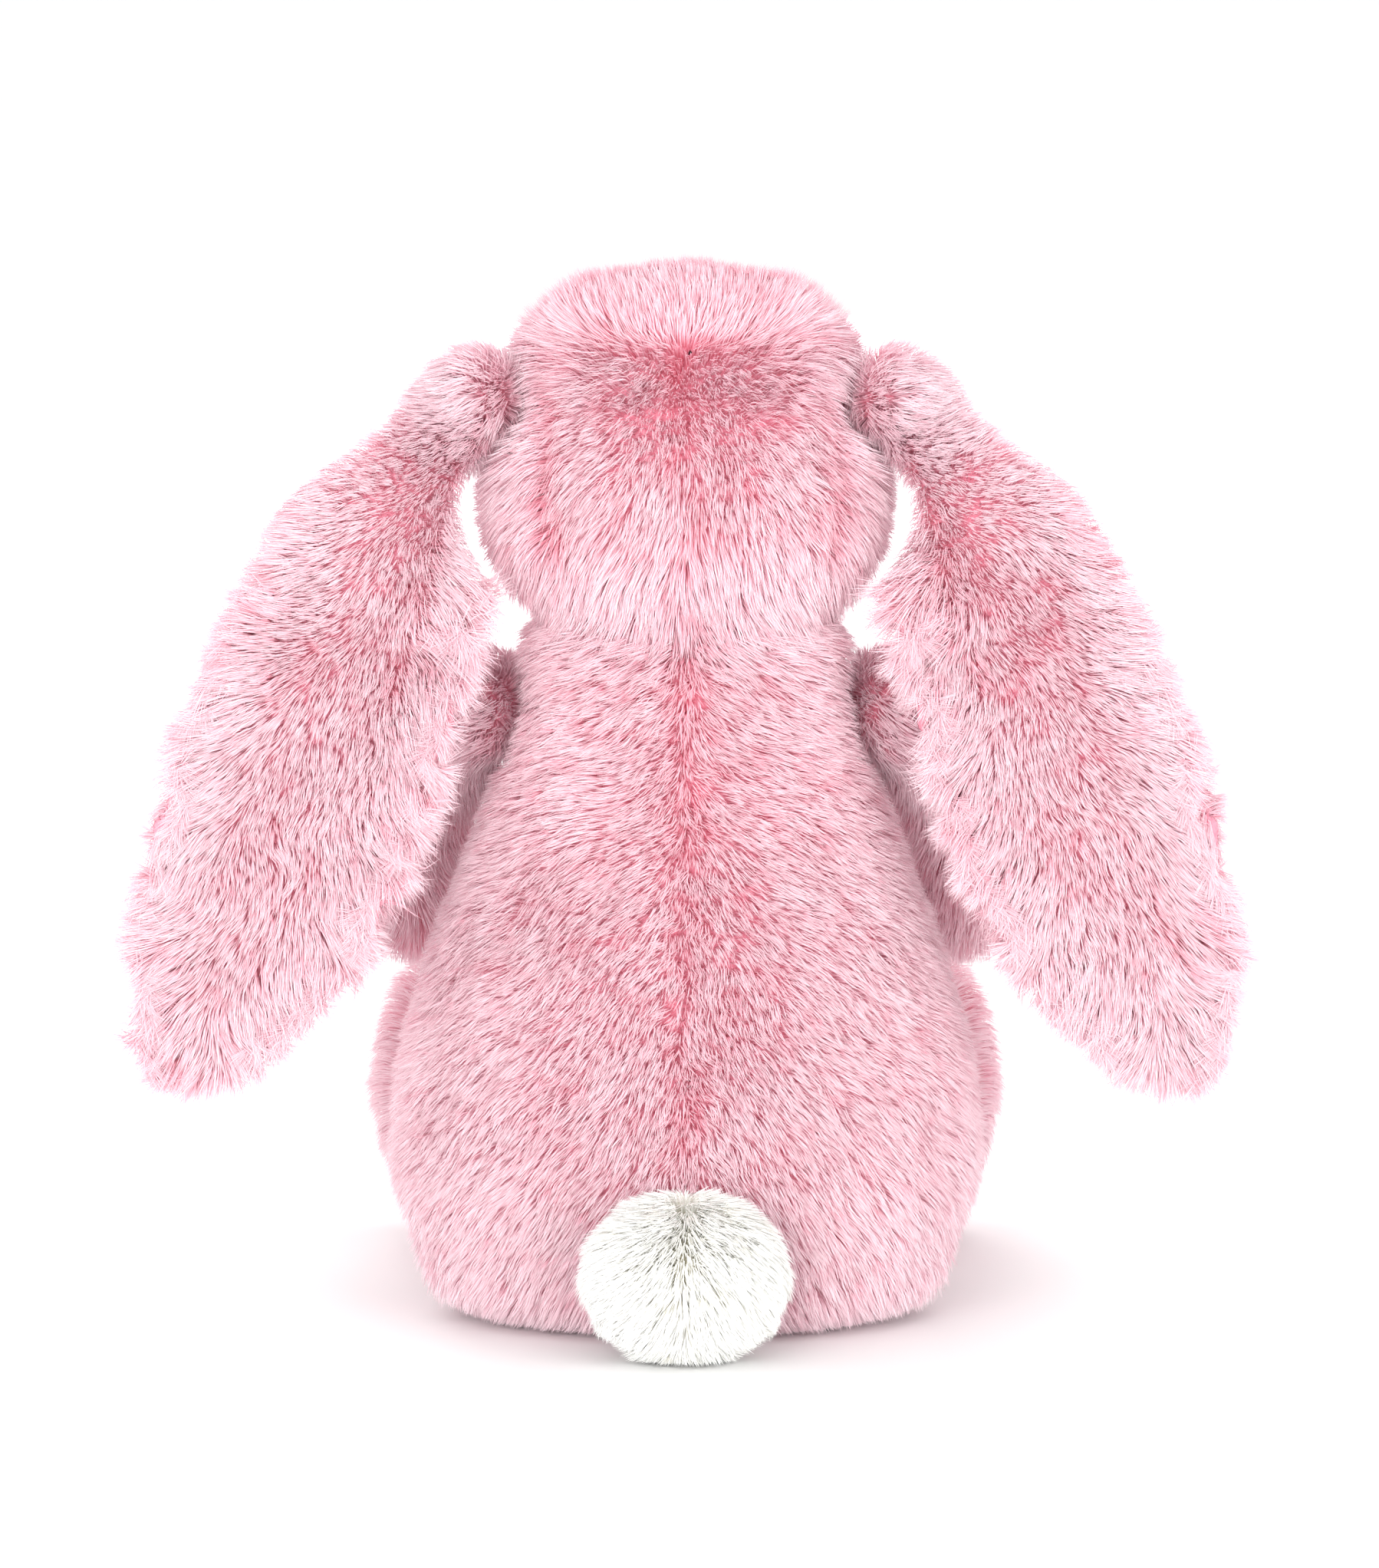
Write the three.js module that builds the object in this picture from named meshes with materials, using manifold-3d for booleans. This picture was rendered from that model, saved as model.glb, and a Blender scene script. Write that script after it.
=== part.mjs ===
// A sitting plush rabbit with long drooping ears and a round tail. It is sewn from fur-fabric panels over
// loose fibre filling, with a pouch of pellets in the seat and safety eyes locked on by washers.
//
// Millimetres, +Z up. The toy looks along -Y and its own left side is at +X. The origin is the centre of
// the flat seat. Each soft piece is drawn at the size of its pile, so two panels meet pile to pile.

import * as THREE from 'three';
import { mergeVertices } from 'three/addons/utils/BufferGeometryUtils.js';
import Module from 'manifold-3d';

const wasm = await Module();
wasm.setup();

// ---------------------------------------------------------------- driving dimensions

const GAP = 0.3; // between two pieces that touch
const PLUSH = 6; // fur fabric: its backing and the pile that lies on it
const EAR_PLUSH = 5; // the shorter pile on the ears and the tail
const JOINT_CLEARANCE = 1.2; // round a sewn joint, so that its facets can turn
const FILLING_GAP = 1.4; // between the filling and the panels round it
const FAR = 300; // longer than the toy, for cutting boxes

// How finely the round shapes are faceted: sides round them.
const ROUND = 12; // small pieces, and the rounded ends that turn in a dimple
const HIDDEN = 8; // filling
const DOME_STEPS = 3; // rings of a small dome
const NECK_BALL = 16; // the rounded bottom of the head

// Facets of the stuffed forms: sides round them, and rings along them.
const BODY_FACETS = [18, 11];
const HEAD_FACETS = [16, 10];
const CORE_FACETS = [12, 8];
const EAR_FACETS = [10, 12];
const WADDING_FACETS = [6, 7];
const LIMB_FACETS = [10, 8];

const SEAT_SEAM = 7; // height of the seam between the seat and the sides
const SIDE_SEAM = -2; // Y of the side seams of the body
const HEAD_SIDE_SEAM = 3; // Y of the side seams of the head, below the crown seam
const CROWN_SEAM_START = 172; // height at which the side seam tilts back towards the crown
const CROWN_SEAM_SLOPE = 0.76; // how far back the crown seam goes for each millimetre of height

// Where the sewn joints turn, and the radius of the rounded end that turns there.
const NECK = { at: new THREE.Vector3(0, 0, 146), radius: 27 };
const SHOULDER = { at: new THREE.Vector3(40, -5, 121), radius: 12.5 };
const HIP = { at: new THREE.Vector3(31, -40, 22), radius: 19 };
const EAR_ROOT = { at: new THREE.Vector3(40, 5, 183.5), radius: 11 };

const NECK_PLUG = { radius: 9, ball: 13, bottom: 112 }; // filling that passes through the neck
const NECK_OPENING = { z: 115, bottom: 18.5, top: 13.6 }; // a cone, so that the head can nod about the plug

const FACE = { y: -2, depth: 38 }; // the round of the head where the eyes are set
const EYE = { x: 19, z: 170, radius: 5, height: 4.2, rim: 1.2, shank: 1.7, sunk: 1.5, tail: 1 };
const WASHER = { radius: 6.5, thickness: 1.6, bore: 2, depth: PLUSH + 2.2 };
const NOSE = { at: new THREE.Vector3(0, -50, 164), size: new THREE.Vector3(5.4, 2.4, 3.8) };
const MUZZLE = { at: new THREE.Vector3(0, -33, 157), size: new THREE.Vector3(21, 17, 14) };
const MOUTH = { thread: 1, drop: 4.5, smile: 5, top: 159.5, layer: 1.1 };

const FOOT = { at: new THREE.Vector3(44, -101, 30.5), size: new THREE.Vector3(21, 16.5, 29.5), turn: 0.14 };
const SOLE_SEAM = -109; // Y of the seam round the sole

const TAIL = { at: new THREE.Vector3(0, 57, 16.6), size: new THREE.Vector3(19.5, 18, 16) };

const POUCH = { y: -1, bottom: PLUSH + 2 * GAP, radius: 24, height: 13, edge: 3, cloth: 1.2 };

// ---------------------------------------------------------------- outlines
// A stuffed form is a spine and a profile. Each profile row is [distance along the spine, half width,
// half thickness], and both ends close on the spine.

const BODY = {
  spine: [[0, -1, -8], [0, -1, 50], [0, -0.5, 100], [0, 0.5, 150]],
  facing: [0, 1, 0],
  profile: [
    [0, 0, 0], [1.5, 22, 17], [8, 41, 33], [16, 51, 41], [28, 57.5, 45.5], [44, 59, 47], [60, 57, 45.2],
    [76, 52.5, 41.8], [92, 47, 37.5], [108, 40.5, 33.2], [122, 35.5, 30], [136, 32, 28.2], [145, 30.2, 27.4],
    [151, 27, 24.5], [156, 17, 15.5], [158, 0, 0],
  ],
};

const HEAD = {
  spine: [[0, -1, 138.5], [0, -2, 160], [0, -1, 209.5]],
  facing: [0, 1, 0],
  profile: [
    [0, 0, 0], [2.5, 17, 15], [5.5, 27.5, 25], [9, 33.4, 30.5], [14, 37.4, 35], [22, 38.9, 38], [32, 38.7, 37.8],
    [42, 37, 35.7], [51, 33.4, 31.5], [59, 27.5, 25.2], [65, 19.5, 17.4], [69, 10.5, 9.2], [71, 0, 0],
  ],
};

const EAR = {
  spine: [
    [40, 5, 183.5], [53, 9.5, 171], [60, 14.5, 156.5], [63.5, 18.5, 140.5], [70.5, 21.5, 123.5],
    [77.5, 23, 104.5], [84.5, 23, 84], [93.5, 21.5, 66.5], [97.5, 20, 57], [99.5, 18.5, 47],
  ],
  facing: [0, 1, 0],
  profile: [
    [0, 0, 0], [3, 9.5, 8], [12, 11, 8.5], [30, 15.5, 8], [42, 20, 7.6], [56, 24.5, 7.5], [77, 26.2, 7.5],
    [98, 27, 7.5], [110, 25.5, 7.3], [121, 21.8, 7], [131, 18, 6.8], [142, 14, 6], [148, 10, 4.4], [153, 0, 0],
  ],
};

const EAR_WADDING = {
  spine: EAR.spine,
  facing: EAR.facing,
  profile: [
    [4, 0, 0], [8, 4, 1.6], [30, 8, 1.9], [50, 14.5, 2], [70, 18, 2], [88, 19, 2], [108, 15.5, 2],
    [127, 9.5, 1.9], [137, 4, 1.5], [141, 0, 0],
  ],
};

const ARM = {
  spine: [[36.5, 1, 127], [47, -14, 113], [52.5, -25, 101], [55, -36, 87], [55.5, -45, 70], [55.5, -47, 63]],
  facing: [1, 0, 0],
  profile: [
    [0, 0, 0], [3, 7, 7], [9, 11, 11], [18, 11.6, 11.6], [46, 11.6, 11.6], [66, 12.2, 12.2], [76, 10.6, 10.6],
    [81.5, 6.4, 6.4], [84, 0, 0],
  ],
};

const LEG = {
  spine: [[28.5, -29, 23], [36, -62, 20], [41, -86, 20], [43.5, -106, 20.5]],
  facing: [1, 0, 0],
  profile: [
    [0, 0, 0], [4, 11, 11], [14, 16.5, 16.5], [28, 17.5, 17.5], [58, 17, 17], [68, 15.5, 15.5],
    [75, 10, 10], [78, 0, 0],
  ],
};

// The forehead gusset, from the front: half its width at each height, down to its point above the nose.
const GUSSET = [[15, 214], [14, 196], [11.5, 184], [7.5, 173], [3.2, 167.5]];

// ---------------------------------------------------------------- materials

function finish(color, roughness = 0.95, metalness = 0) {
  return new THREE.MeshStandardMaterial({ color, roughness, metalness });
}

const PINK_FUR = () => finish(0xf2a5bc);
const EAR_LINING = () => finish(0xf4b3c5);
const WHITE_FUR = () => finish(0xf4f3ea);
const FIBRE = () => finish(0xf5f4f0);
const POUCH_CLOTH = () => finish(0xe9e6df, 0.9);
const PELLET = () => finish(0xdfe3e6, 0.5);
const THREAD = () => finish(0xc9607f, 0.7);
const EYE_PLASTIC = () => finish(0x17110f, 0.12);
const WASHER_PLASTIC = () => finish(0xf0efe9, 0.55);

// ---------------------------------------------------------------- solids

function vector(triple) {
  return new THREE.Vector3(...triple);
}

// Keeps only the positions of a geometry, with shared corners joined, as a closed mesh needs.
function weld(geometry) {
  const bare = geometry.clone();
  bare.deleteAttribute('normal');
  bare.deleteAttribute('uv');
  return mergeVertices(bare, 1e-4);
}

function solid(geometry) {
  const welded = weld(geometry);
  const mesh = new wasm.Mesh({
    numProp: 3,
    vertProperties: new Float32Array(welded.attributes.position.array),
    triVerts: new Uint32Array(welded.index.array),
  });
  return new wasm.Manifold(mesh);
}

// A copy of a closed geometry with every corner moved out by grow, or in where grow is negative.
function grown(geometry, grow) {
  const moved = weld(geometry);
  moved.computeVertexNormals();
  const { position, normal } = moved.attributes;
  for (let i = 0; i < position.count; i += 1) {
    const outward = new THREE.Vector3().fromBufferAttribute(normal, i);
    const corner = new THREE.Vector3().fromBufferAttribute(position, i).addScaledVector(outward, grow);
    position.setXYZ(i, corner.x, corner.y, corner.z);
  }
  return moved;
}

// The same form with its profile made wider, thicker and longer by grow.
function widened({ spine, facing, profile }, grow) {
  const end = profile.length - 1;
  const rows = profile.map(([distance, width, thickness], i) => {
    if (i === 0) return [distance - grow, 0, 0];
    if (i === end) return [distance + grow, 0, 0];
    return [distance, width + grow, thickness + grow];
  });
  return { spine, facing, profile: rows };
}

// Sweeps rounded sections along a spine. The unit sphere gives the mesh: its poles are the spine's ends.
function stuffedForm({ spine, facing, profile }, sides, rings) {
  const path = new THREE.CatmullRomCurve3(spine.map(vector));
  const outline = new THREE.CatmullRomCurve3(profile.map(vector));
  const front = vector(facing);
  const length = path.getLength();
  const geometry = new THREE.SphereGeometry(1, sides, rings);
  const { position, uv } = geometry.attributes;
  for (let i = 0; i < position.count; i += 1) {
    const around = uv.getX(i) * 2 * Math.PI;
    const [distance, width, thickness] = outline.getPointAt(1 - uv.getY(i)).toArray();
    const part = THREE.MathUtils.clamp(distance / length, 0, 1);
    const along = path.getTangentAt(part);
    const across = new THREE.Vector3().crossVectors(front, along).normalize();
    const through = new THREE.Vector3().crossVectors(along, across);
    const corner = path.getPointAt(part);
    corner.addScaledVector(across, -Math.cos(around) * width);
    corner.addScaledVector(through, Math.sin(around) * thickness);
    position.setXYZ(i, corner.x, corner.y, corner.z);
  }
  return geometry;
}

function ball(at, radius, sides = ROUND) {
  return new THREE.SphereGeometry(radius, sides, Math.ceil(sides / 2)).translate(at.x, at.y, at.z);
}

function ellipsoid({ at, size, turn = 0 }, grow = 0, sides = ROUND) {
  const geometry = new THREE.SphereGeometry(1, sides, Math.ceil(sides / 2));
  geometry.rotateX(Math.PI / 2);
  geometry.scale(size.x + grow, size.y + grow, size.z + grow);
  return geometry.rotateZ(turn).translate(at.x, at.y, at.z);
}

// A box between two corners, each given as [x, y, z].
function box(low, high) {
  const size = vector(high).sub(vector(low));
  const middle = vector(low).addScaledVector(size, 0.5);
  return solid(new THREE.BoxGeometry(...size.toArray()).translate(...middle.toArray()));
}

// A round piece from its outline, turned about Z. Each row is [radius, height], from axis to axis.
function turned(rows, sides = ROUND) {
  const outline = rows.map(([radius, height]) => new THREE.Vector2(radius, height));
  return new THREE.LatheGeometry(outline, sides).rotateX(Math.PI / 2);
}

// The rows of a rounded dome, from its edge up to the axis.
function domeRows(radius, foot, height) {
  const rows = [];
  for (let step = 0; step < DOME_STEPS; step += 1) {
    const turn = (step / DOME_STEPS) * (Math.PI / 2);
    rows.push([radius * Math.cos(turn), foot + height * Math.sin(turn)]);
  }
  return [...rows, [0, foot + height]];
}

function flatOutline(points, depth) {
  const shape = new THREE.Shape(points.map(([a, b]) => new THREE.Vector2(a, b)));
  return new THREE.ExtrudeGeometry(shape, { depth, bevelEnabled: false, steps: 1 });
}

// Everything on the +X side of a line that is drawn in X and Z, from top to bottom.
function outsideOfLine(line, shift) {
  const [top, bottom] = [line[0], line[line.length - 1]];
  const edge = line.map(([x, z]) => [x + shift, z]);
  const points = [[FAR, FAR], [top[0] + shift, FAR], ...edge, [bottom[0] + shift, -FAR], [FAR, -FAR]];
  return flatOutline(points, 2 * FAR).translate(0, 0, -FAR).rotateX(Math.PI / 2);
}

function cutAll(base, tools) {
  return tools.reduce((left, tool) => left.subtract(tool), base);
}

function joinAll(parts) {
  return parts.reduce((sum, part) => sum.add(part));
}

function mirrored({ at, radius }, side) {
  return { at: new THREE.Vector3(at.x * side, at.y, at.z), radius };
}

function socket(joint, side, extra, sides) {
  const { at, radius } = mirrored(joint, side);
  return solid(ball(at, radius + JOINT_CLEARANCE + extra, sides));
}

// ---------------------------------------------------------------- the toy

const toy = new THREE.Group();

function addPiece(name, shape, material) {
  const { numProp, vertProperties, triVerts } = shape.getMesh();
  const geometry = new THREE.BufferGeometry();
  const corners = new Float32Array((vertProperties.length / numProp) * 3);
  for (let i = 0; i < corners.length / 3; i += 1) {
    for (let axis = 0; axis < 3; axis += 1) {
      corners[3 * i + axis] = vertProperties[numProp * i + axis];
    }
  }
  geometry.setAttribute('position', new THREE.BufferAttribute(corners, 3));
  geometry.setIndex(new THREE.BufferAttribute(new Uint32Array(triVerts), 1));
  geometry.computeVertexNormals();
  const mesh = new THREE.Mesh(geometry, material);
  mesh.name = name;
  toy.add(mesh);
}

const SIDES = [['left', 1], ['right', -1]];

const bodyForm = stuffedForm(BODY, ...BODY_FACETS);
const bodyCore = stuffedForm(BODY, ...CORE_FACETS);
const headForm = stuffedForm(HEAD, ...HEAD_FACETS);
const headCore = stuffedForm(HEAD, ...CORE_FACETS);

function halfSpaceX(side, from) {
  return side > 0 ? box([from, -FAR, -FAR], [FAR, FAR, FAR]) : box([-FAR, -FAR, -FAR], [-from, FAR, FAR]);
}

// The body, without its seat: dimpled where the limbs are sewn on, and open at the neck.
function bodySolid(form, inset, sides) {
  const trimmed = solid(grown(form, -inset)).intersect(box([-FAR, -FAR, inset], [FAR, FAR, FAR]));
  const joints = SIDES.flatMap(([, side]) => [SHOULDER, HIP].map((joint) => [joint, side]));
  return cutAll(trimmed, joints.map(([joint, side]) => socket(joint, side, inset, sides)));
}

function addBody() {
  const neckOpening = solid(ball(NECK.at, NECK.radius + JOINT_CLEARANCE, NECK_BALL));
  const inside = bodySolid(bodyForm, PLUSH, HIDDEN);
  const cloth = bodySolid(bodyForm, 0, ROUND).subtract(inside).subtract(neckOpening);
  const sides = cloth.intersect(box([-FAR, -FAR, SEAT_SEAM + GAP], [FAR, FAR, FAR]));
  const back = sides.intersect(box([-FAR, SIDE_SEAM + GAP, 0], [FAR, FAR, FAR]));
  for (const [name, side] of SIDES) {
    addPiece(`body_back_${name}`, back.intersect(halfSpaceX(side, GAP / 2)), PINK_FUR());
  }
  addPiece('body_belly', sides.intersect(box([-FAR, -FAR, 0], [FAR, SIDE_SEAM, FAR])), PINK_FUR());
  addPiece('body_seat', cloth.intersect(box([-FAR, -FAR, -GAP], [FAR, FAR, SEAT_SEAM])), PINK_FUR());

  const core = bodySolid(bodyCore, PLUSH + FILLING_GAP, HIDDEN);
  const neckDish = solid(ball(NECK.at, NECK.radius + 2 * FILLING_GAP, ROUND));
  addPiece('body_filling', cutAll(core, [neckDish, neckStem(JOINT_CLEARANCE), solid(pouchForm(GAP))]), FIBRE());
}

// ---------------------------------------------------------------- pellet pouch in the seat

// A low dome, closed below by a disc. The pouch lies on the seat panel, under the filling.
function pouchForm(grow) {
  const rim = POUCH.radius + grow;
  const base = grow > 0 ? PLUSH - GAP : POUCH.bottom - grow;
  const shoulder = POUCH.bottom + POUCH.edge;
  const top = POUCH.bottom + POUCH.height + grow;
  const rows = [[0, base], [rim - POUCH.edge, base], ...domeRows(rim, shoulder, top - shoulder)];
  return turned(rows).translate(0, POUCH.y, 0);
}

function addPouch() {
  const outside = solid(pouchForm(0));
  const inside = solid(pouchForm(-POUCH.cloth));
  const cloth = outside.subtract(inside);
  const seam = POUCH.bottom + POUCH.cloth;
  addPiece('pouch_bottom', cloth.intersect(box([-FAR, -FAR, 0], [FAR, FAR, seam])), POUCH_CLOTH());
  addPiece('pouch_top', cloth.intersect(box([-FAR, -FAR, seam + GAP], [FAR, FAR, FAR])), POUCH_CLOTH());
  addPiece('pellets', solid(pouchForm(-POUCH.cloth - GAP)), PELLET());
}

// ---------------------------------------------------------------- neck and head

function neckStem(grow) {
  const bottom = NECK_PLUG.bottom - grow;
  const radius = NECK_PLUG.radius + grow;
  return solid(turned([[0, bottom], [radius, bottom], [radius, NECK.at.z], [0, NECK.at.z]]));
}

function addNeck() {
  addPiece('neck_filling', neckStem(0).add(solid(ball(NECK.at, NECK_PLUG.ball))), FIBRE());
}

function headSolid(form, inset, sides, neckSides) {
  const parts = [
    solid(grown(form, -inset)),
    solid(ellipsoid(MUZZLE, -inset)),
    solid(ball(NECK.at, NECK.radius - inset, neckSides)),
  ];
  return cutAll(joinAll(parts), SIDES.map(([, side]) => socket(EAR_ROOT, side, inset, sides)));
}

// The room that the neck plug needs: a ball, and a cone below it that opens towards the body.
function neckRoom() {
  const { z, bottom, top } = NECK_OPENING;
  const cone = turned([[0, z], [bottom, z], [top, NECK.at.z], [0, NECK.at.z]]);
  return solid(cone).add(solid(ball(NECK.at, NECK_PLUG.ball + JOINT_CLEARANCE)));
}

// The back of the head: behind the side seam, and below the crown seam that tilts back from it.
function backOfHead(shift) {
  const start = HEAD_SIDE_SEAM + shift;
  const rise = FAR - CROWN_SEAM_START;
  const points = [[start, -FAR], [FAR, -FAR], [FAR, FAR], [start + rise * CROWN_SEAM_SLOPE, FAR]];
  points.push([start, CROWN_SEAM_START]);
  const region = flatOutline(points, 2 * FAR).translate(0, 0, -FAR);
  return solid(region.rotateX(Math.PI / 2).rotateZ(Math.PI / 2));
}

function gussetRegion(grow) {
  const right = GUSSET.map(([width, height]) => [width + grow, height - grow]);
  const left = [...right].reverse().map(([x, z]) => [-x, z]);
  return solid(flatOutline([...right, ...left], 2 * FAR).translate(0, 0, -FAR).rotateX(Math.PI / 2));
}

// Turns a piece that is drawn along +Z to stand out of the face at one eye.
function onFace(geometry, side) {
  const reach = Math.sqrt(FACE.depth ** 2 - EYE.x ** 2);
  const outward = new THREE.Vector3(EYE.x * side, -reach, 0).normalize();
  const turn = new THREE.Quaternion().setFromUnitVectors(new THREE.Vector3(0, 0, 1), outward);
  return geometry.applyQuaternion(turn).translate(EYE.x * side, FACE.y - reach, EYE.z);
}

// A domed safety eye on a shank, in one moulding. Zero height is the top of the pile.
function eyeForm(grow) {
  const base = -EYE.sunk - grow;
  const foot = -WASHER.depth - WASHER.thickness - EYE.tail - grow;
  const rows = [[0, foot], [EYE.shank + grow, foot], [EYE.shank + grow, base], [EYE.radius + grow, base]];
  const dome = EYE.height - EYE.rim + 2 * grow;
  return turned([...rows, ...domeRows(EYE.radius + grow, base + EYE.rim, dome)]);
}

function washerForm(grow) {
  const top = grow - WASHER.depth;
  const bottom = top - WASHER.thickness - 2 * grow;
  return turned([[0, bottom], [WASHER.radius + grow, bottom], [WASHER.radius + grow, top], [0, top]]);
}

function washerBore() {
  return turned([[0, -FAR], [WASHER.bore, -FAR], [WASHER.bore, 0], [0, 0]]);
}

// The pocket that a washer needs in the filling, open to the front like the hole that the shank made.
function washerPocket() {
  const bottom = -WASHER.depth - WASHER.thickness - EYE.tail - 2 * GAP;
  const radius = WASHER.radius + GAP;
  return turned([[0, bottom], [radius, bottom], [radius, 0], [0, 0]]);
}

// The mouth: a short drop of thread under the nose, and a curve to each side.
function mouthRegion() {
  const half = MOUTH.thread / 2;
  const foot = MOUTH.top - MOUTH.drop;
  const drop = box([-half, -FAR, foot - half], [half, MUZZLE.at.y, MOUTH.top]);
  const curves = SIDES.map(([, side]) => {
    const arc = new THREE.Shape();
    arc.absarc(side * MOUTH.smile, foot, MOUTH.smile + half, Math.PI, 2 * Math.PI, false);
    arc.absarc(side * MOUTH.smile, foot, MOUTH.smile - half, 2 * Math.PI, Math.PI, true);
    const curve = new THREE.ExtrudeGeometry(arc, { depth: FAR, bevelEnabled: false, curveSegments: HIDDEN });
    return solid(curve.rotateX(Math.PI / 2).translate(0, MUZZLE.at.y, 0));
  });
  return joinAll([drop, ...curves]);
}

function addHead() {
  const eyeHoles = SIDES.map(([, side]) => solid(onFace(eyeForm(GAP), side)));
  const nose = solid(ellipsoid(NOSE));
  const noseHole = solid(ellipsoid(NOSE, GAP));
  const inside = headSolid(headForm, PLUSH, HIDDEN, ROUND);
  const cloth = cutAll(headSolid(headForm, 0, ROUND, NECK_BALL), [inside, neckRoom(), noseHole, ...eyeHoles]);
  const back = cloth.intersect(backOfHead(GAP));
  const front = cloth.subtract(backOfHead(0));
  const cheeks = front.subtract(gussetRegion(GAP));
  for (const [name, side] of SIDES) {
    addPiece(`head_back_${name}`, back.intersect(halfSpaceX(side, GAP / 2)), PINK_FUR());
    addPiece(`head_cheek_${name}`, cheeks.intersect(halfSpaceX(side, GAP / 2)), PINK_FUR());
  }
  addPiece('head_gusset', front.intersect(gussetRegion(0)), PINK_FUR());

  const pockets = SIDES.map(([, side]) => solid(onFace(washerPocket(), side)));
  const core = headSolid(headCore, PLUSH + FILLING_GAP, HIDDEN, HIDDEN);
  addPiece('head_filling', cutAll(core, [neckRoom(), ...pockets]), FIBRE());

  for (const [name, side] of SIDES) {
    addPiece(`eye_${name}`, solid(onFace(eyeForm(0), side)), EYE_PLASTIC());
    const washer = solid(onFace(washerForm(0), side)).subtract(solid(onFace(washerBore(), side)));
    addPiece(`eye_washer_${name}`, washer, WASHER_PLASTIC());
  }
  addPiece('nose_stitching', nose, THREAD());
  const layer = solid(ellipsoid(MUZZLE, GAP + MOUTH.layer)).subtract(solid(ellipsoid(MUZZLE, GAP)));
  const mouth = layer.intersect(mouthRegion()).subtract(noseHole);
  addPiece('mouth_stitching', mouth, THREAD());
}

// ---------------------------------------------------------------- ears, arms, legs and tail

function mirroredShape(shape, side) {
  return side > 0 ? shape : shape.mirror([1, 0, 0]);
}

// Everything behind the ear's own middle surface, which follows its spine.
function behindEar(shift) {
  const line = EAR.spine.map(([, y, z]) => [y + shift, z]);
  return solid(outsideOfLine(line, 0).rotateZ(Math.PI / 2));
}

function addEars() {
  const root = solid(ball(EAR_ROOT.at, EAR_ROOT.radius));
  const room = solid(stuffedForm(widened(EAR_WADDING, 2 * GAP), ...WADDING_FACETS));
  const cloth = solid(stuffedForm(EAR, ...EAR_FACETS)).add(root).subtract(room);
  const wadding = solid(stuffedForm(EAR_WADDING, ...WADDING_FACETS));
  for (const [name, side] of SIDES) {
    addPiece(`ear_${name}_outer`, mirroredShape(cloth.intersect(behindEar(GAP / 2)), side), PINK_FUR());
    addPiece(`ear_${name}_lining`, mirroredShape(cloth.subtract(behindEar(-GAP / 2)), side), EAR_LINING());
    addPiece(`ear_${name}_wadding`, mirroredShape(wadding, side), FIBRE());
  }
}

function limbSolid(joint, outline, inset, sides, extra = []) {
  const form = stuffedForm(outline, ...LIMB_FACETS);
  return joinAll([solid(ball(joint.at, joint.radius - inset, sides)), solid(grown(form, -inset)), ...extra]);
}

function addArms() {
  const seam = ARM.spine.map(([x, , z]) => [x, z]);
  const cloth = limbSolid(SHOULDER, ARM, 0, ROUND).subtract(limbSolid(SHOULDER, ARM, PLUSH, HIDDEN));
  const filling = limbSolid(SHOULDER, ARM, PLUSH + FILLING_GAP, HIDDEN);
  const outer = cloth.intersect(solid(outsideOfLine(seam, GAP / 2)));
  const inner = cloth.subtract(solid(outsideOfLine(seam, -GAP / 2)));
  for (const [name, side] of SIDES) {
    addPiece(`arm_${name}_outer`, mirroredShape(outer, side), PINK_FUR());
    addPiece(`arm_${name}_inner`, mirroredShape(inner, side), PINK_FUR());
    addPiece(`arm_${name}_filling`, mirroredShape(filling, side), FIBRE());
  }
}

function addLegs() {
  const seam = LEG.spine.map(([x, y]) => [x, y]);
  const outside = (shift) => solid(outsideOfLine(seam, shift).rotateX(-Math.PI / 2));
  const legSolid = (inset, sides) => limbSolid(HIP, LEG, inset, sides, [solid(ellipsoid(FOOT, -inset, sides))]);
  const cloth = legSolid(0, ROUND).subtract(legSolid(PLUSH, HIDDEN));
  const filling = legSolid(PLUSH + FILLING_GAP, HIDDEN);
  const sole = cloth.intersect(box([-FAR, -FAR, -FAR], [FAR, SOLE_SEAM, FAR]));
  const upper = cloth.intersect(box([-FAR, SOLE_SEAM + GAP, -FAR], [FAR, FAR, FAR]));
  const outer = upper.intersect(outside(GAP / 2));
  const inner = upper.subtract(outside(-GAP / 2));
  for (const [name, side] of SIDES) {
    addPiece(`leg_${name}_outer`, mirroredShape(outer, side), PINK_FUR());
    addPiece(`leg_${name}_inner`, mirroredShape(inner, side), PINK_FUR());
    addPiece(`leg_${name}_sole`, mirroredShape(sole, side), PINK_FUR());
    addPiece(`leg_${name}_filling`, mirroredShape(filling, side), FIBRE());
  }
}

function addTail() {
  const body = solid(grown(bodyForm, GAP));
  const ballOf = (inset) => solid(ellipsoid(TAIL, -inset)).subtract(body);
  const cloth = ballOf(0).subtract(solid(ellipsoid(TAIL, -EAR_PLUSH)));
  for (const [name, side] of SIDES) {
    addPiece(`tail_${name}`, cloth.intersect(halfSpaceX(side, GAP / 2)), WHITE_FUR());
  }
  addPiece('tail_filling', ballOf(EAR_PLUSH + GAP), FIBRE());
}

addBody();
addPouch();
addNeck();
addHead();
addEars();
addArms();
addLegs();
addTail();

export default toy;
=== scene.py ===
"""A sitting plush rabbit seen from behind: long drooping ears, deep pink pile and a round white tail.

Every soft part is made from the space its CAD solids hold. A backing cloth lies a few millimetres inside
that space, and pile grows out of it, combed and parted as on the toy. Lengths here are millimetres; the
meshes are written in metres. The toy looks along -Y and its own left side is at +X.
"""

import math

import bmesh
import bpy
import numpy as np
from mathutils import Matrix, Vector
from mathutils.bvhtree import BVHTree
from mathutils.kdtree import KDTree


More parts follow.
